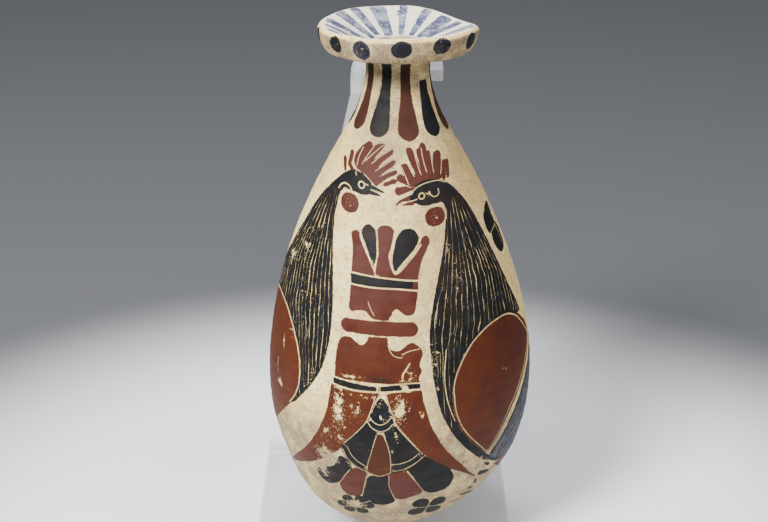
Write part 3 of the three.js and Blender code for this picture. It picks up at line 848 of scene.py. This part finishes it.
# Neck tongues: (degrees from the front, degrees that the top leans, lowest and highest height)
TONGUES = [(-60, 3, 174.4, 206), (-24, 4, 173.4, 206), (13, 0, 172.2, 206), (48, 1, 172.6, 194),
    (82, 0, 172.4, 206), (120, 0, 173.2, 206), (156, 0, 172.8, 206), (192, 0, 172.5, 206),
    (228, 0, 173, 206), (264, 0, 173.4, 206)]
# Dots on the plate's edge: (degrees, half width, half height, height, how rubbed, how faded)
RIM_DOTS = [(-79, 3.0, 2.9, 211.6, 0.3, 0.0), (-50, 3.4, 3.4, 211.0, 0.5, 0.0),
    (-27, 3.7, 3.9, 210.3, 0.46, 0.1), (2, 4.1, 3.3, 211.2, 0.25, 0.05), (32, 4.1, 3.1, 211.5, 0.48, 0.05),
    (63, 3.8, 3.2, 210.8, 0.35, 0.1), (92, 3.6, 2.9, 210.9, 0.3, 0.0), (122, 3.4, 3.1, 211, 0.4, 0.0),
    (151, 3.7, 2.8, 211.2, 0.3, 0.1), (181, 3.3, 3.0, 210.8, 0.5, 0.0), (211, 3.6, 2.9, 211, 0.3, 0.0),
    (245, 3.4, 3.0, 211.1, 0.4, 0.2)]
EDGE_LOW = 204.6  # the plate's edge is above this height and outside this radius
EDGE_RADIUS = 28.4
DISH_STEP = 20.0  # degrees from one tongue of the dish to the next
DISH_TURN = 4.0


def degrees_off(angle, middle):
    """Degrees from a middle, from -180 to 180."""
    return (angle - middle + 180) % 360 - 180


def paint_neck(black_and_red, angle, radius, height):
    """Tongues that hang down the neck, red and black in turn."""
    neck = (height > 168) & (radius < 24) & (radius > BORE_RADIUS + 3) & (height < 204.5)
    half = np.radians(9.0 + 4.2 * smooth_step((192 - height) / 14)) * radius
    for k, (middle, lean, bottom, top) in enumerate(TONGUES):
        off = degrees_off(angle, middle + lean * smooth_step((height - 178) / 20))
        across = np.radians(np.abs(off)) * radius
        end = np.hypot(across, np.minimum(height - (bottom + half), 0)) - half
        end = np.maximum(end, height - top)
        layer = black_and_red[(k + 1) % 2]
        layer[neck] = np.minimum(layer[neck], end[neck])


def paint_edge(layers, angle, radius, height):
    """Dots round the plate's edge."""
    side = (height > EDGE_LOW) & (radius > EDGE_RADIUS)
    for middle, size_across, size_up, up, rubbed, faded in RIM_DOTS:
        across = np.radians(degrees_off(angle, middle)) * radius
        dot = (np.hypot(across / size_across, (height - up) / size_up) - 1) * min(size_across, size_up)
        layers["black"][side] = np.minimum(layers["black"][side], dot[side])
        on_dot = side & (dot < 1)
        layers["pale"][on_dot] = faded
        layers["wear"][on_dot] = rubbed


def paint_dish(layers, angle, radius, height):
    """Pale tongues over the dish, each a little unlike the next."""
    floor_height = np.maximum(205, 206 + (radius - 8) * 0.2)
    dish = (height > floor_height) & (radius < 30.6) & (radius > BORE_RADIUS - 0.5)
    layers["pale"][dish] = 0.9
    layers["wear"][dish] = 0.42
    which = np.floor((angle + DISH_TURN + DISH_STEP / 2) / DISH_STEP)
    middle = which * DISH_STEP - DISH_TURN + 2.8 * np.sin(which * 2.3)
    across = np.radians(np.abs(degrees_off(angle, middle))) * radius
    half = (0.6 + np.radians(4.6) * radius) * (1 + 0.3 * np.sin(which * 3.7))
    inner = 11.5 + 1.8 * np.sin(which * 2.4)
    outer = 29.3 + 0.7 * np.sin(which * 5.1)
    corner = np.hypot(np.maximum(across - half + 1.2, 0), np.maximum(radius - outer + 1.2, 0)) - 1.2
    tongue = np.maximum(np.maximum(across - half, corner), inner - radius)
    layers["black"][dish] = np.minimum(layers["black"][dish], tongue[dish])


# Rubbed places: (middle, size, how much)
WORN = [((-9.2, 16), (1.0, 2.0), 1.0), ((2.6, 16), (1.4, 2.4), 1.0), ((-31.5, -18), (8, 6.5), 1.0),
    ((-25.5, 4), (4, 11), 1.0), ((-31, -6), (4, 5), 0.8), ((-18, 6), (5, 7), 0.62),
    ((-24, -8), (5, 4), 0.7), ((0, 6), (4.2, 8), 1.0), ((-1, 12), (3, 2.4), 0.9),
    ((8.4, 4.6), (1.6, 2.6), 0.9), ((-13, 12), (9, 1.4), 0.85), ((-24, 13.4), (3, 1.6), 0.8),
    ((-57, 58), (7, 3.5), 0.9), ((-46, 65), (6, 3), 0.8), ((-42, 71), (4, 4), 0.6),
    ((12.8, 26), (3.2, 6), 0.85), ((14.5, 15), (1.6, 4), 0.7), ((-17, -46), (8, 6.4), 0.95),
    ((-33, -27), (4.6, 6), 1.0), ((-60, 6), (4, 2.5), 0.7), ((47.5, 15), (3.5, 3), 0.5),
    ((-20, 19.4), (7, 1.2), 0.85), ((4, 21), (2.6, 5), 0.75), ((-8, 9.5), (3, 2.4), 0.75),
    ((24, 58), (4, 8), 0.55), ((20, 70), (2.5, 4), 0.6), ((-38, 16), (3, 5), 0.7),
    ((-3, -12), (1.5, 3), 0.8), ((-1.6, -5), (2, 4), 0.75), ((-15.4, -9), (1.4, 1.4), 0.8),
    ((-8, -21), (4, 1.4), 0.5), ((7, -35), (3, 2), 0.6), ((-41, 12), (3, 3), 0.7),
    ((36, -24), (4, 4), 0.8), ((-44, 52), (10, 15), 0.46), ((-50, 30), (6, 8), 0.5),
    ((-36, 74), (6, 7), 0.5), ((14.6, 82.5), (3, 3), 0.62), ((-20.5, 86.9), (3, 3), 0.66),
    ((-60, 6), (3, 2.5), 1.0), ((-62, 12), (1.2, 6), 0.9), ((-57, 24), (1, 5), 0.85),
    ((-30, -28), (3, 4), 0.75), ((-21, -20), (3, 3), 0.6)]
# The edge of the plate's painted shadow on the neck: above it the clay is browner and the red paint darker
PLATE_SHADOW_LINE = 189.5  # the height above which the neck is darker
NECK_REACH = 26  # the radius inside which the bottle is neck


def shade_and_grime(x, s, height, radius):
    """How brown the bare clay is: painted shade low down and to the right, painted shade and the plate's
    painted shadow round the neck, browner between the combs, and brown on the plate's edge.
    """
    # Painted shade: darker low down and on the right side
    low = 0.95 * smooth_step((8 - s) / 22)
    right = 0.55 * np.exp(-((x - 22) / 24) ** 2)
    between = 0.8 * np.exp(-((x + 5) / 13) ** 2) * smooth_step((s - 94) / 8)
    # Painted shade up the neck, and the plate's painted shadow above its edge
    neck = 0.2 * smooth_step((height - 176) / 8) + 0.65 * smooth_step((height - PLATE_SHADOW_LINE) / 1.2)
    brown = np.maximum(np.maximum(low + right - low * right, between), neck * (radius < NECK_REACH))
    on_edge = (height > EDGE_LOW) & (radius > EDGE_RADIUS) & (height < 213.6)
    return np.where(on_edge, 1.0, brown)


def purple(x, s):
    """Where the red paint is more purple: high in the middle, on the heads and combs, and low down."""
    plant = smooth_step((s - 15) / 45) * smooth_step((34 - np.abs(x + 8)) / 8)
    return plant + smooth_step((s - 78) / 12) + smooth_step((-s - 20) / 8)


HIDDEN = 900.0  # a place off the drawing, for what isn't on the outer wall


def paint_bottle(piece, true_places):
    """Stores the paint's layers on the bottle's vertices."""
    x, y, z = true_places.T
    radius = np.hypot(x, y)
    angle = np.arctan2(x, -y)
    wall_radius = np.interp(z, WALL_LINE[:, 1], WALL_LINE[:, 0])
    on_wall = (z < NECK_HEIGHT) & (radius > wall_radius - 1.5)
    s = np.interp(z, WALL_LINE[:, 1], WALL_ALONG)
    points = np.stack([radius * angle, s], axis=1)
    points[~on_wall] = HIDDEN
    painting = Painting(points)
    layers = painting.layers
    paint_bodies(painting)
    paint_cocks(painting)
    paint_lotus(painting)
    paint_palmette(painting)
    painting.scores(WING_CUTS)
    paint_fillers(painting)
    for rubbed in WORN:
        painting.rub(*rubbed)
    # Painted shade on the neck's red paint, darker upward, and the plate's painted shadow above its edge
    neck_shade = 0.45 * smooth_step((z - 168) / 10) + 0.3 * smooth_step((z - PLATE_SHADOW_LINE) / 1.2)
    painting.raise_layer("dark", neck_shade * (radius < NECK_REACH))
    paint_neck((layers["black"], layers["red"]), np.degrees(angle), radius, z)
    paint_edge(layers, np.degrees(angle), radius, z)
    paint_dish(layers, np.degrees(angle), radius, z)
    # The brown layer: painted shade and shadow, browner between the combs and on the plate's edge
    layers["brown"] = shade_and_grime(points[:, 0], s, z, radius)
    layers["purple"] = purple(points[:, 0], s)
    for name, value in layers.items():
        layer = piece.data.attributes.new(name, "FLOAT", "POINT")
        layer.data.foreach_set("value", value.astype(np.float32))
    flat = np.column_stack([points, np.zeros(len(points))]).astype(np.float32)
    drawing = piece.data.attributes.new("drawing", "FLOAT_VECTOR", "POINT")
    drawing.data.foreach_set("vector", flat.ravel())


# Node helpers

def colour(red, green, blue):
    """An sRGB colour of 0 to 255 as the shader's linear one."""
    def linear(v):
        v /= 255
        return v / 12.92 if v <= 0.04045 else ((v + 0.055) / 1.055) ** 2.4
    return (linear(red), linear(green), linear(blue), 1.0)


class Nodes:
    """A material's node tree, with short calls for the nodes that the finishes use."""

    def __init__(self, name):
        self.material = bpy.data.materials.new(name)
        self.material.use_nodes = True
        self.tree = self.material.node_tree
        self.tree.nodes.clear()
        self.shader = self.add("ShaderNodeBsdfPrincipled")
        output = self.add("ShaderNodeOutputMaterial")
        self.tree.links.new(self.shader.outputs[0], output.inputs["Surface"])

    def add(self, kind, **settings):
        node = self.tree.nodes.new(kind)
        for key, value in settings.items():
            setattr(node, key, value)
        return node

    def feed(self, socket, value):
        if isinstance(value, bpy.types.NodeSocket):
            self.tree.links.new(value, socket)
        else:
            socket.default_value = value

    def math(self, operation, a, b=0.0, c=0.0, clamp=False):
        node = self.add("ShaderNodeMath", operation=operation, use_clamp=clamp)
        for socket, value in zip(node.inputs, (a, b, c)):
            self.feed(socket, value)
        return node.outputs[0]

    def ramp(self, value, low, high, to_low=0.0, to_high=1.0):
        """A smooth step of value from low to high."""
        node = self.add("ShaderNodeMapRange", interpolation_type="SMOOTHSTEP")
        for socket, number in zip(node.inputs, (value, low, high, to_low, to_high)):
            self.feed(socket, number)
        return node.outputs[0]

    def mix(self, share, a, b):
        """A mix of two colours."""
        node = self.add("ShaderNodeMix", data_type="RGBA")
        self.feed(node.inputs[0], share)
        self.feed(node.inputs[6], a)
        self.feed(node.inputs[7], b)
        return node.outputs[2]

    def tint(self, under, noise, low, high, share, over):
        """A colour over another where a noise is above low, at its whole share from high on."""
        return self.mix(self.ramp(noise, low, high, 0.0, share), under, colour(*over))

    def blend(self, share, a, b):
        """A mix of two numbers."""
        node = self.add("ShaderNodeMix", data_type="FLOAT")
        self.feed(node.inputs[0], share)
        self.feed(node.inputs[2], a)
        self.feed(node.inputs[3], b)
        return node.outputs[0]

    def value(self, name):
        return self.add("ShaderNodeAttribute", attribute_name=name).outputs["Fac"]

    def place(self, name):
        return self.add("ShaderNodeAttribute", attribute_name=name).outputs["Vector"]

    def wavering(self, noise, width):
        """A noise as a number round zero."""
        return self.math("MULTIPLY_ADD", noise, width, -width / 2)

    def noise(self, scale, detail=4.0, roughness=0.55, stretch=(1, 1, 1), distortion=0.0, move=(0, 0, 0)):
        """Noise on Object coordinates; scale is in waves for each millimetre."""
        place = self.add("ShaderNodeTexCoord").outputs["Object"]
        mapping = self.add("ShaderNodeMapping")
        mapping.inputs["Scale"].default_value = tuple(1000 * scale * k for k in stretch)
        mapping.inputs["Location"].default_value = move
        self.tree.links.new(place, mapping.inputs["Vector"])
        node = self.add("ShaderNodeTexNoise")
        self.tree.links.new(mapping.outputs[0], node.inputs["Vector"])
        node.inputs["Scale"].default_value = 1.0
        node.inputs["Detail"].default_value = detail
        node.inputs["Roughness"].default_value = roughness
        node.inputs["Distortion"].default_value = distortion
        return node.outputs["Fac"]


# Eyes: (x, s, radius of the ring)
EYES = [(-15.0, 94.7, 1.3), (9.1, 91.1, 1.15)]
RING_WIDTH = 0.42


def eye_rings(n, drawing):
    """Where the incised eyes are, from 0 to 1."""
    total = None
    for x, s, radius in EYES:
        gap = n.add("ShaderNodeVectorMath", operation="DISTANCE")
        n.feed(gap.inputs[0], drawing)
        gap.inputs[1].default_value = (x, s, 0)
        off = n.math("ABSOLUTE", n.math("SUBTRACT", gap.outputs["Value"], radius))
        line = n.ramp(off, RING_WIDTH * 0.4, RING_WIDTH * 0.9, 1.0, 0.0)
        total = line if total is None else n.math("MAXIMUM", total, line)
    return total


def bare_clay(n, clouds, blotches, specks, grain):
    """Cream with ochre clouds, a brown layer of painted shade, painted shadow and grime, dark specks and pale
    scratches.
    """
    stains = n.noise(0.11, 6, 0.7, distortion=0.6, move=(5, 0, 4))
    grimy = n.noise(0.16, 5, 0.65, move=(2, 2, 7))
    mottling = n.noise(0.75, 5, 0.7, move=(4, 9, 1))
    clay = n.tint(colour(240, 219, 142), clouds, 0.35, 0.66, 1.0, (226, 190, 100))
    clay = n.tint(clay, blotches, 0.46, 0.7, 1.0, (198, 160, 98))
    clay = n.tint(clay, stains, 0.52, 0.72, 0.7, (166, 124, 74))
    # The brown layer darkens the clay where it holds painted shade and the plate's painted shadow
    brown = n.math("MULTIPLY", n.value("brown"), n.ramp(grimy, 0.32, 0.66, 0.55, 1.25))
    clay = n.mix(brown, clay, colour(92, 62, 22))
    clay = n.tint(clay, mottling, 0.47, 0.68, 0.62, (140, 98, 40))
    clay = n.tint(clay, specks, 0.58, 0.7, 0.7, (70, 46, 20))
    clay = n.tint(clay, grain, 0.35, 0.6, 0.3, (246, 238, 208))
    return n.mix(n.math("MULTIPLY", n.value("pale"), 0.75), clay, colour(236, 234, 226))


def black_slip(n, clouds, blotches, grain):
    """Blue-black where thick, brown where thin, and grey-blue where it is faded."""
    thin = n.noise(0.09, 5, 0.6, stretch=(1, 1, 2.2), move=(1, 7, 3))
    slip = n.tint(colour(13, 15, 19), thin, 0.5, 0.66, 1.0, (29, 20, 12))
    slip = n.tint(slip, blotches, 0.45, 0.75, 0.5, (30, 38, 44))
    slip = n.tint(slip, clouds, 0.5, 0.62, 0.5, (28, 20, 24))
    slip = n.tint(slip, grain, 0.5, 0.75, 0.2, (66, 60, 56))
    faded = n.tint(colour(70, 76, 104), blotches, 0.4, 0.6, 1.0, (132, 138, 156))
    return n.mix(n.value("pale"), slip, faded)


def red_paint(n, grain):
    """Rust, more purple in places, and olive where it is stained or darkened by painted shade on the neck."""
    rust = n.mix(n.value("purple"), colour(75, 34, 14), colour(73, 38, 33))
    rust = n.tint(rust, n.noise(0.12, 4, 0.6, move=(4, 4, 1)), 0.42, 0.66, 1.0, (66, 27, 19))
    rust = n.tint(rust, grain, 0.5, 0.8, 0.25, (118, 66, 50))
    # The dark layer: olive stains, and painted shade and shadow on the neck
    return n.mix(n.value("dark"), rust, colour(36, 28, 17))


def lost_paint(n):
    """Flakes, pin holes and patches: few on sound paint, many where it is rubbed."""
    wear = n.value("wear")

    def above(noise, sound, rubbed, low, high):
        return n.ramp(n.math("SUBTRACT", noise, n.blend(wear, sound, rubbed)), low, high)

    flakes = above(n.noise(0.55, 6, 0.68, distortion=0.4), 0.73, 0.5, -0.012, 0.012)
    pins = above(n.noise(1.7, 3, 0.6, move=(3, 1, 2)), 0.75, 0.56, -0.01, 0.02)
    patches = above(n.noise(0.2, 5, 0.66, distortion=0.8, move=(6, 3, 9)), 0.9, 0.46, -0.01, 0.012)
    return n.math("MAXIMUM", n.math("MAXIMUM", flakes, patches), n.math("MULTIPLY", pins, 0.8))


def from_line(n, count):
    """How far a count is from halfway between two whole numbers."""
    return n.math("ABSOLUTE", n.math("SUBTRACT", n.math("FRACT", count), 0.5))


def feather_lines(n):
    """Lines cut through the black, every other one left out where they crowd, and finer scratches between."""
    spacing = n.value("feather_gap")
    wobble = n.wavering(n.noise(0.07, 5, 0.6, stretch=(1, 1, 0.4)), 1.9)
    count = n.math("ADD", n.value("feather"), wobble)
    off = n.math("MULTIPLY", from_line(n, count), spacing)
    second = n.math("GREATER_THAN", n.math("FRACT", n.math("MULTIPLY", count, 0.5)), 0.5)
    second = n.math("MULTIPLY", second, n.ramp(spacing, 1.1, 1.7, 1.0, 0.0))
    uneven = n.noise(0.3, 5, 0.66, stretch=(1, 1, 0.16), move=(9, 2, 5))
    width = n.math("SUBTRACT", n.ramp(uneven, 0.39, 0.68, -0.02, 0.19), second)
    width = n.math("SUBTRACT", width, n.ramp(spacing, 0.4, 0.9, 0.12, 0.0))
    lines = n.ramp(n.math("SUBTRACT", off, width), -0.1, 0.1, 1.0, 0.0)
    half = from_line(n, n.math("MULTIPLY", count, 2.37))
    half = n.math("MULTIPLY", half, n.math("MULTIPLY", spacing, 0.42))
    thinner = n.ramp(n.noise(0.3, 5, 0.7, stretch=(1, 1, 0.16), move=(1, 6, 2)), 0.5, 0.68, -0.12, 0.08)
    thinner = n.math("SUBTRACT", thinner, n.ramp(spacing, 0.7, 1.4, 0.2, 0.0))
    scratches = n.ramp(n.math("SUBTRACT", half, thinner), -0.07, 0.07, 0.7, 0.0)
    return n.math("MULTIPLY", n.math("MAXIMUM", lines, scratches), n.value("feather_on"))


def scored_lines(n):
    """The single cut lines, a little uneven in width."""
    jitter = n.math("MULTIPLY_ADD", n.noise(0.45, 3, 0.6, move=(2, 8, 6)), 0.6, 0.55)
    scored = n.math("SUBTRACT", n.math("ABSOLUTE", n.value("cut")), jitter)
    scored = n.ramp(scored, -0.3, 0.3, 1.0, 0.0)
    return n.math("MULTIPLY", scored, n.ramp(n.value("cut_on"), 0.35, 0.6))


def surface_relief(n, black, red, cut, specks, grain):
    """Fine grit, brushed paint and the cut lines, as a shallow bump."""
    height = n.math("MULTIPLY", grain, 0.05)
    height = n.math("ADD", height, n.math("MULTIPLY", specks, 0.08))
    height = n.math("SUBTRACT", height, n.math("MULTIPLY", cut, 0.16))
    height = n.math("ADD", height, n.math("MULTIPLY", n.math("MAXIMUM", black, red), 0.05))
    bump = n.add("ShaderNodeBump")
    bump.inputs["Strength"].default_value = 0.8
    bump.inputs["Distance"].default_value = MM
    n.feed(bump.inputs["Height"], height)
    return bump.outputs[0]


def painted_clay():
    """Clay with red paint and black slip over it, less what is cut away or lost."""
    n = Nodes("painted_clay")
    clouds = n.noise(0.035, 3)
    blotches = n.noise(0.22, 5, 0.6)
    specks = n.noise(1.1, 2, 0.5)
    grain = n.noise(2.6, 3, 0.6)
    edge = n.math("ADD", n.wavering(n.noise(0.5, 3, 0.6), 0.7), n.wavering(n.noise(2.2, 2, 0.6), 0.36))
    black = n.ramp(n.math("ADD", n.value("black"), edge), -0.14, 0.14, 1.0, 0.0)
    red = n.ramp(n.math("ADD", n.value("red"), edge), -0.14, 0.14, 1.0, 0.0)
    cut = n.math("MAXIMUM", feather_lines(n), scored_lines(n))
    cut = n.math("MAXIMUM", cut, eye_rings(n, n.place("drawing")))
    cut = n.math("MULTIPLY", cut, n.math("MAXIMUM", black, red), clamp=True)
    keep = n.math("SUBTRACT", 1.0, lost_paint(n))
    keep = n.math("MULTIPLY", keep, n.math("SUBTRACT", 1.0, n.math("MULTIPLY", cut, 0.95)))
    black = n.math("MULTIPLY", black, keep)
    red = n.math("MULTIPLY", red, keep)
    surface = n.mix(red, bare_clay(n, clouds, blotches, specks, grain), red_paint(n, grain))
    surface = n.mix(black, surface, black_slip(n, clouds, blotches, grain))
    n.feed(n.shader.inputs["Base Color"], surface)
    matt = n.blend(black, n.blend(red, 0.66, 0.6), 0.6)
    n.feed(n.shader.inputs["Roughness"], n.math("ADD", n.wavering(grain, 0.25), matt))
    n.feed(n.shader.inputs["Normal"], surface_relief(n, black, red, cut, specks, grain))
    n.shader.inputs["Specular IOR Level"].default_value = 0.14
    return n.material


def clear_acrylic():
    n = Nodes("clear_acrylic")
    n.shader.inputs["Base Color"].default_value = (0.93, 0.96, 1.0, 1)
    n.shader.inputs["Transmission Weight"].default_value = 0.6
    n.shader.inputs["IOR"].default_value = 1.49
    n.shader.inputs["Alpha"].default_value = 0.55
    scuffs = n.noise(0.05, 5, 0.6)
    n.feed(n.shader.inputs["Roughness"], n.ramp(scuffs, 0.35, 0.75, 0.03, 0.14))
    return n.material


CLAY = painted_clay()
ACRYLIC = clear_acrylic()


def finish_piece(piece, material, slot, *nodes):
    piece.data.materials.clear()
    piece.data.materials.append(material)
    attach(piece, "root")
    if nodes:
        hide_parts(*nodes)


# The lug handle: a strap from the plate's underside down to the shoulder, behind. In millimetres
HANDLE_TURN = 7.6  # degrees from the back towards the right
HANDLE_REACH = 26.8
HANDLE_WIDTH = 12.0
HANDLE_BAND = 4.8
HANDLE_FOOT = TURN_HEIGHT - 3.2
HANDLE_ROUND = 1.1


def handle_path():
    """The strap's middle line, from inside the plate to the shoulder: rows of (distance back, height)."""
    middle = HANDLE_REACH - HANDLE_BAND / 2
    knee = (middle - 0.4, HANDLE_FOOT + 10)
    strap = bend((middle, RIM_BOTTOM + 3), (middle, RIM_BOTTOM - 8), (middle + 0.4, RIM_BOTTOM - 18),
                 knee, 10)
    root = bend(knee, (middle - 1, HANDLE_FOOT + 7), (middle - 3, HANDLE_FOOT + 4),
                (middle - 7, HANDLE_FOOT + 0.5), 6)
    return chain(strap, root)


def make_handle():
    """A slab drawn out along a bent path, wider where its ends are pressed on."""
    deselect()
    path = handle_path()
    bpy.ops.mesh.primitive_plane_add(size=1, location=(0, path[0, 0], path[0, 1]))
    piece = bpy.context.object
    piece.name = "handle"
    piece.scale = (HANDLE_WIDTH, HANDLE_BAND, 1)
    settle_origin(piece)
    bpy.ops.object.mode_set(mode="EDIT")
    bpy.ops.mesh.select_all(action="SELECT")
    along = np.gradient(path, axis=0)
    lean = np.arctan2(along[:, 0], -along[:, 1])
    for k in range(1, len(path)):
        step = path[k] - path[k - 1]
        bpy.ops.mesh.extrude_region_move(TRANSFORM_OT_translate={"value": (0, step[0], step[1])})
        place = (0, path[k, 0], path[k, 1])
        bpy.ops.transform.rotate(value=lean[k] - lean[k - 1], orient_axis="X", center_override=place)
        if k in (1, 2):
            bpy.ops.transform.resize(value=(0.93, 0.96, 1), center_override=place)
        if k > len(path) - 5:
            bpy.ops.transform.resize(value=(1.07, 1.0, 1), center_override=place)
    bpy.ops.mesh.select_all(action="SELECT")
    bpy.ops.mesh.normals_make_consistent(inside=False)
    bpy.ops.object.mode_set(mode="OBJECT")
    rounding = piece.modifiers.new("edges", "BEVEL")
    rounding.width = HANDLE_ROUND
    rounding.segments = 2
    rounding.limit_method = "ANGLE"
    smoothing = piece.modifiers.new("smooth", "SUBSURF")
    smoothing.levels = smoothing.render_levels = 2
    apply_all(piece)
    bpy.ops.object.shade_smooth()
    places = read_vertices(piece)
    turn = math.radians(-HANDLE_TURN)
    turned = np.stack([places[:, 0] * math.cos(turn) - places[:, 1] * math.sin(turn),
                       places[:, 0] * math.sin(turn) + places[:, 1] * math.cos(turn), places[:, 2]], axis=1)
    turned[:, 0] += NECK_SHIFT
    write_vertices(piece, turned * MM + np.array([AXIS_X, AXIS_Y, REST_Z]))
    for name in ("black", "red"):
        layer = piece.data.attributes.new(name, "FLOAT", "POINT")
        layer.data.foreach_set("value", np.full(len(places), FAR, np.float32))
    return piece


def make_bottle():
    piece = spin_bottle()
    true_places = read_vertices(piece)
    paint_bottle(piece, true_places)
    places = chip_bottle(settle_bottle(true_places.copy()))
    write_vertices(piece, places * MM + np.array([AXIS_X, AXIS_Y, REST_Z]))
    handle = make_handle()
    activate(piece)
    handle.select_set(True)
    bpy.ops.object.join()
    finish_piece(piece, CLAY, "painted_clay", "painted_bottle")


# The stand
PLATE_BEVEL = 0.7 * MM


def plate(name, low, high, bevel, node):
    """A polished plate with softened edges."""
    deselect()
    low, high = np.array(low), np.array(high)
    bpy.ops.mesh.primitive_cube_add(size=1, location=(low + high) / 2, scale=high - low)
    piece = bpy.context.object
    piece.name = name
    settle_origin(piece)
    modifier = piece.modifiers.new("edges", "BEVEL")
    modifier.width = bevel
    modifier.segments = 3
    apply_all(piece)
    bpy.ops.object.shade_smooth_by_angle(angle=math.radians(40))
    finish_piece(piece, ACRYLIC, "clear_acrylic", node)


foot_low, foot_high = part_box("stand_foot")
plate("foot_plate", foot_low, foot_high, PLATE_BEVEL, "stand_foot")
for node in ("stand_back", "neck_collar"):
    cad_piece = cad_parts[node]
    cad_piece.data.materials.clear()
    cad_piece.data.materials.append(ACRYLIC)

make_bottle()

# Stage: one floor, with a painted pool of light: pale under the object and fading to grey further off
FLOOR_SIZE = 20.0
FLOOR_DROP = 0.0002
POOL_RADIUS = 0.13
POOL_EDGE = 0.17


def light_pool_floor():
    n = Nodes("light_pool_floor")
    place = n.add("ShaderNodeTexCoord").outputs["Object"]
    reach = n.add("ShaderNodeVectorMath", operation="LENGTH")
    n.feed(reach.inputs[0], place)
    # The painted pool of light: pale out to the pool's radius, then grey
    away = n.ramp(reach.outputs["Value"], POOL_RADIUS, POOL_RADIUS + POOL_EDGE)
    n.feed(n.shader.inputs["Base Color"], n.mix(away, colour(243, 245, 248), colour(87, 89, 94)))
    n.shader.inputs["Roughness"].default_value = 0.7
    return n.material


deselect()
bpy.ops.mesh.primitive_plane_add(size=FLOOR_SIZE, location=(0, 0, -FLOOR_DROP))
floor = bpy.context.object
floor.name = "floor"
settle_origin(floor)
floor.data.materials.append(light_pool_floor())

# Camera, at the photograph's angle
CAMERA_PLACE = (0.0001, -0.6818, 0.3759)
CAMERA_DOWN = 20.5  # degrees below level
CAMERA_LENS = 82.03
camera_data = bpy.data.cameras.new("camera")
camera_data.lens = CAMERA_LENS
camera_data.sensor_width = 36
camera = bpy.data.objects.new("camera", camera_data)
bpy.context.collection.objects.link(camera)
camera.location = CAMERA_PLACE
camera.rotation_euler = (math.radians(90 - CAMERA_DOWN), 0, 0)
bpy.context.scene.camera = camera


def area_light(name, place, aim, size, power, tint):
    data = bpy.data.lights.new(name, "AREA")
    data.shape = "DISK"
    data.size = size
    data.energy = power
    data.color = tint
    lamp = bpy.data.objects.new(name, data)
    bpy.context.collection.objects.link(lamp)
    lamp.location = place
    direction = np.array(aim) - np.array(place)
    flat = math.hypot(direction[0], direction[1])
    lamp.rotation_euler = (math.pi / 2 + math.atan2(direction[2], flat), 0,
                           math.atan2(direction[1], direction[0]) - math.pi / 2)


# Lights: (name, place, size, power in watts, tint)
LIT_PLACE = (0, 0, 0.12)
LIGHTS = [("key", (-0.6, -0.8, 0.95), 0.45, 45, (1.0, 0.985, 0.94)),
          ("fill", (0.9, -0.6, 0.7), 0.6, 7, (1.0, 0.94, 0.85)),
          ("top", (0.0, 0.15, 1.2), 0.5, 7, (0.97, 0.98, 1.0))]
for name, place, size, power, tint in LIGHTS:
    area_light(name, place, LIT_PLACE, size, power, tint)

ROOM_TINT = (0.82, 0.85, 0.9, 1)
ROOM_LIGHT = 0.42
world = bpy.data.worlds.new("soft_room")
bpy.context.scene.world = world
world.use_nodes = True
background = world.node_tree.nodes["Background"]
background.inputs["Color"].default_value = ROOM_TINT
background.inputs["Strength"].default_value = ROOM_LIGHT
